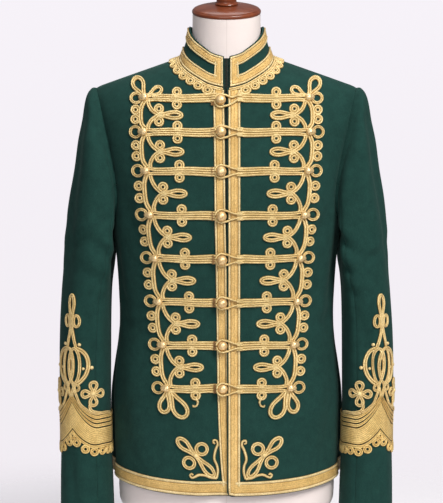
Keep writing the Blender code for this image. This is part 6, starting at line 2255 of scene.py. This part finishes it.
def zip_metal():
    """The zip's dark teeth."""
    shade = Shade("zip_teeth", Metallic=0.8, Roughness=0.42)
    wear = shade.noise(shade.place(), 700.0)
    colour = shade.ramp(wear, ((0.3, (0.008, 0.007, 0.005)), (0.7, (0.026, 0.021, 0.015))))
    return shade.finish(colour, shade.bump(wear, 0.00008, strength=0.5))


# Camera, floor and light


def camera():
    """The photograph's camera."""
    lens = bpy.data.cameras.new("camera")
    lens.sensor_width = SENSOR
    lens.lens = FOCAL_PIXELS * SENSOR / IMAGE[1]
    lens.shift_x = SHIFT_PIXELS / IMAGE[1]
    eye = placed("camera", lens)
    place = Matrix.Translation((0.0, -CAMERA_BACK, HEM_Z + CAMERA_UP))
    eye.matrix_world = place @ Matrix.Rotation(math.pi / 2 - math.radians(CAMERA_TILT), 4, "X")
    bpy.context.scene.camera = eye


def soft_light(name, place, target, size, power, colour=(1.0, 1.0, 1.0), mirrored=True):
    """A lamp as wide and high as its size, that isn't seen itself."""
    lamp = bpy.data.lights.new(name, "AREA")
    lamp.shape = "RECTANGLE"
    lamp.size, lamp.size_y = size
    lamp.energy = power
    lamp.color = colour
    made = placed(name, lamp)
    way = Vector(target) - Vector(place)
    made.matrix_world = Matrix.Translation(place) @ way.to_track_quat("-Z", "Y").to_matrix().to_4x4()
    made.visible_camera = False
    made.visible_glossy = mirrored


def studio():
    """A pale sky of light, soft lamps, and a floor that fades into the background."""
    sky = Wiring(bpy.data.worlds, "studio")
    back = sky.tree.nodes["Background"]
    up = sky.parts(sky.node("ShaderNodeTexCoord").outputs["Generated"])["Z"]
    level = sky.spread(up, ("From Min", -0.26), ("From Max", 0.06))
    seen = sky.node("ShaderNodeLightPath").outputs["Is Camera Ray"]
    sky.tree.links.new(sky.ramp(level, SKY), back.inputs["Color"])
    sky.tree.links.new(sky.spread(seen, ("To Min", SKY_LIGHT)), back.inputs["Strength"])
    bpy.context.scene.world = sky.made

    chest = (0.0, 0.0, HEM_Z + 0.38)
    soft_light("key", (1.4, -2.2, 2.5), chest, (1.3, 1.3), 101.0, (1.0, 0.985, 0.96))
    soft_light("fill", (-0.5, -2.9, 1.2), chest, (1.6, 1.8), 27.0, (0.97, 0.98, 1.0))
    soft_light("top", (0.0, 0.3, 2.9), (0.0, -0.1, 0.7), (1.6, 1.6), 20.0)
    soft_light("back", (-0.9, 2.8, 1.8), chest, (1.5, 1.5), 46.0, mirrored=False)

    mesh = bpy.data.meshes.new("floor")
    solid = bmesh.new()
    bmesh.ops.create_circle(solid, cap_ends=True, segments=96, radius=1.7)
    solid.to_mesh(mesh)
    solid.free()
    floor = placed("floor", mesh)
    floor.location.z = -0.0006
    shade = Shade("pale_floor", Base_Color=FLOOR, Roughness=0.9, Specular_IOR_Level=0.1)
    far = shade.node("ShaderNodeVectorMath", (0, shade.place()), operation="LENGTH").outputs["Value"]
    fade = shade.spread(far, ("From Min", FLOOR_FADE[0]), ("From Max", FLOOR_FADE[1]),
                        interpolation_type="SMOOTHSTEP")
    clear = shade.node("ShaderNodeBsdfTransparent")
    mixed = shade.node("ShaderNodeMixShader", (0, fade), (1, shade.shader.outputs[0]),
                       (2, clear.outputs[0]))
    shade.tree.links.new(mixed.outputs[0], shade.tree.nodes["Material Output"].inputs["Surface"])
    mesh.materials.append(shade.made)


# The jacket


def cloth(node, piece):
    """A sheet of wool over the form, standing for its node."""
    dress(piece, "wool", node)


def jacket():
    wool = wool_cloth()
    # Each gold thread's third colour is mostly painted shade, for its grooves and the hollows
    # between its threads.
    gold = gold_thread("gold_braid_thread", (1.0, 0.82, 0.42), (0.86, 0.62, 0.23),
                       (0.34, 0.18, 0.04), 2.6, 2.2)
    woven = gold_thread("gold_braid_woven", (1.0, 0.86, 0.48), (0.90, 0.63, 0.23),
                        (0.36, 0.19, 0.04), 2.2, 0.6, 4)
    cuff_gold = gold_thread("gold_braid_cuff", (1.0, 0.79, 0.33), (0.95, 0.64, 0.20),
                            (0.42, 0.22, 0.05), 2.6, 2.2)
    # Binding thread in brown tones that paint the shadow beside the buttons.
    binding_and_shadow = gold_thread("gold_binding_painted_shadow", (0.52, 0.31, 0.12), (0.40, 0.20, 0.07), (0.20, 0.09, 0.03),
                        3.0, 1.0)

    for side, name in SIDES.items():
        front, back = body_panel(side, -1), body_panel(side, 1)
        cloth(f"front_{name}", shell(f"front_{name}_cloth", *front[:2], wool))
        cloth(f"back_{name}", shell(f"back_{name}_cloth", *back[:2], wool))
        rings, inner = sleeve_grids(side, armhole(front, back, side))
        before = BACK_SEAM_COLUMN - rings.shape[1]
        for part, first, last, cut in (
            ("top", before, FRONT_SEAM_COLUMN, TOP_SLEEVE_CUT),
            ("under", FRONT_SEAM_COLUMN, BACK_SEAM_COLUMN, UNDER_SLEEVE_CUT),
        ):
            node = f"sleeve_{name}_{part}"
            cloth(node, sleeve_piece(f"{node}_cloth", rings, inner, first, last, wool))
        front_trim(side, woven)
        corner_motif(side, gold)
        neck_trim(side, gold)
        collar_trim(side, woven)
        cuff_band(side, cuff_gold)
        cuff_motif(side, gold)
    cloth("collar", collar_body(wool))
    frogs(gold, binding_and_shadow)
    end_knobs(covered_knob())
    buttons(gilt())
    zip_fastener(zip_cloth(), zip_metal())
    dress_form(linen_cover())
    stand(turned_wood(), brushed_metal())


camera()
studio()
jacket()
bpy.context.scene.view_settings.view_transform = "Standard"
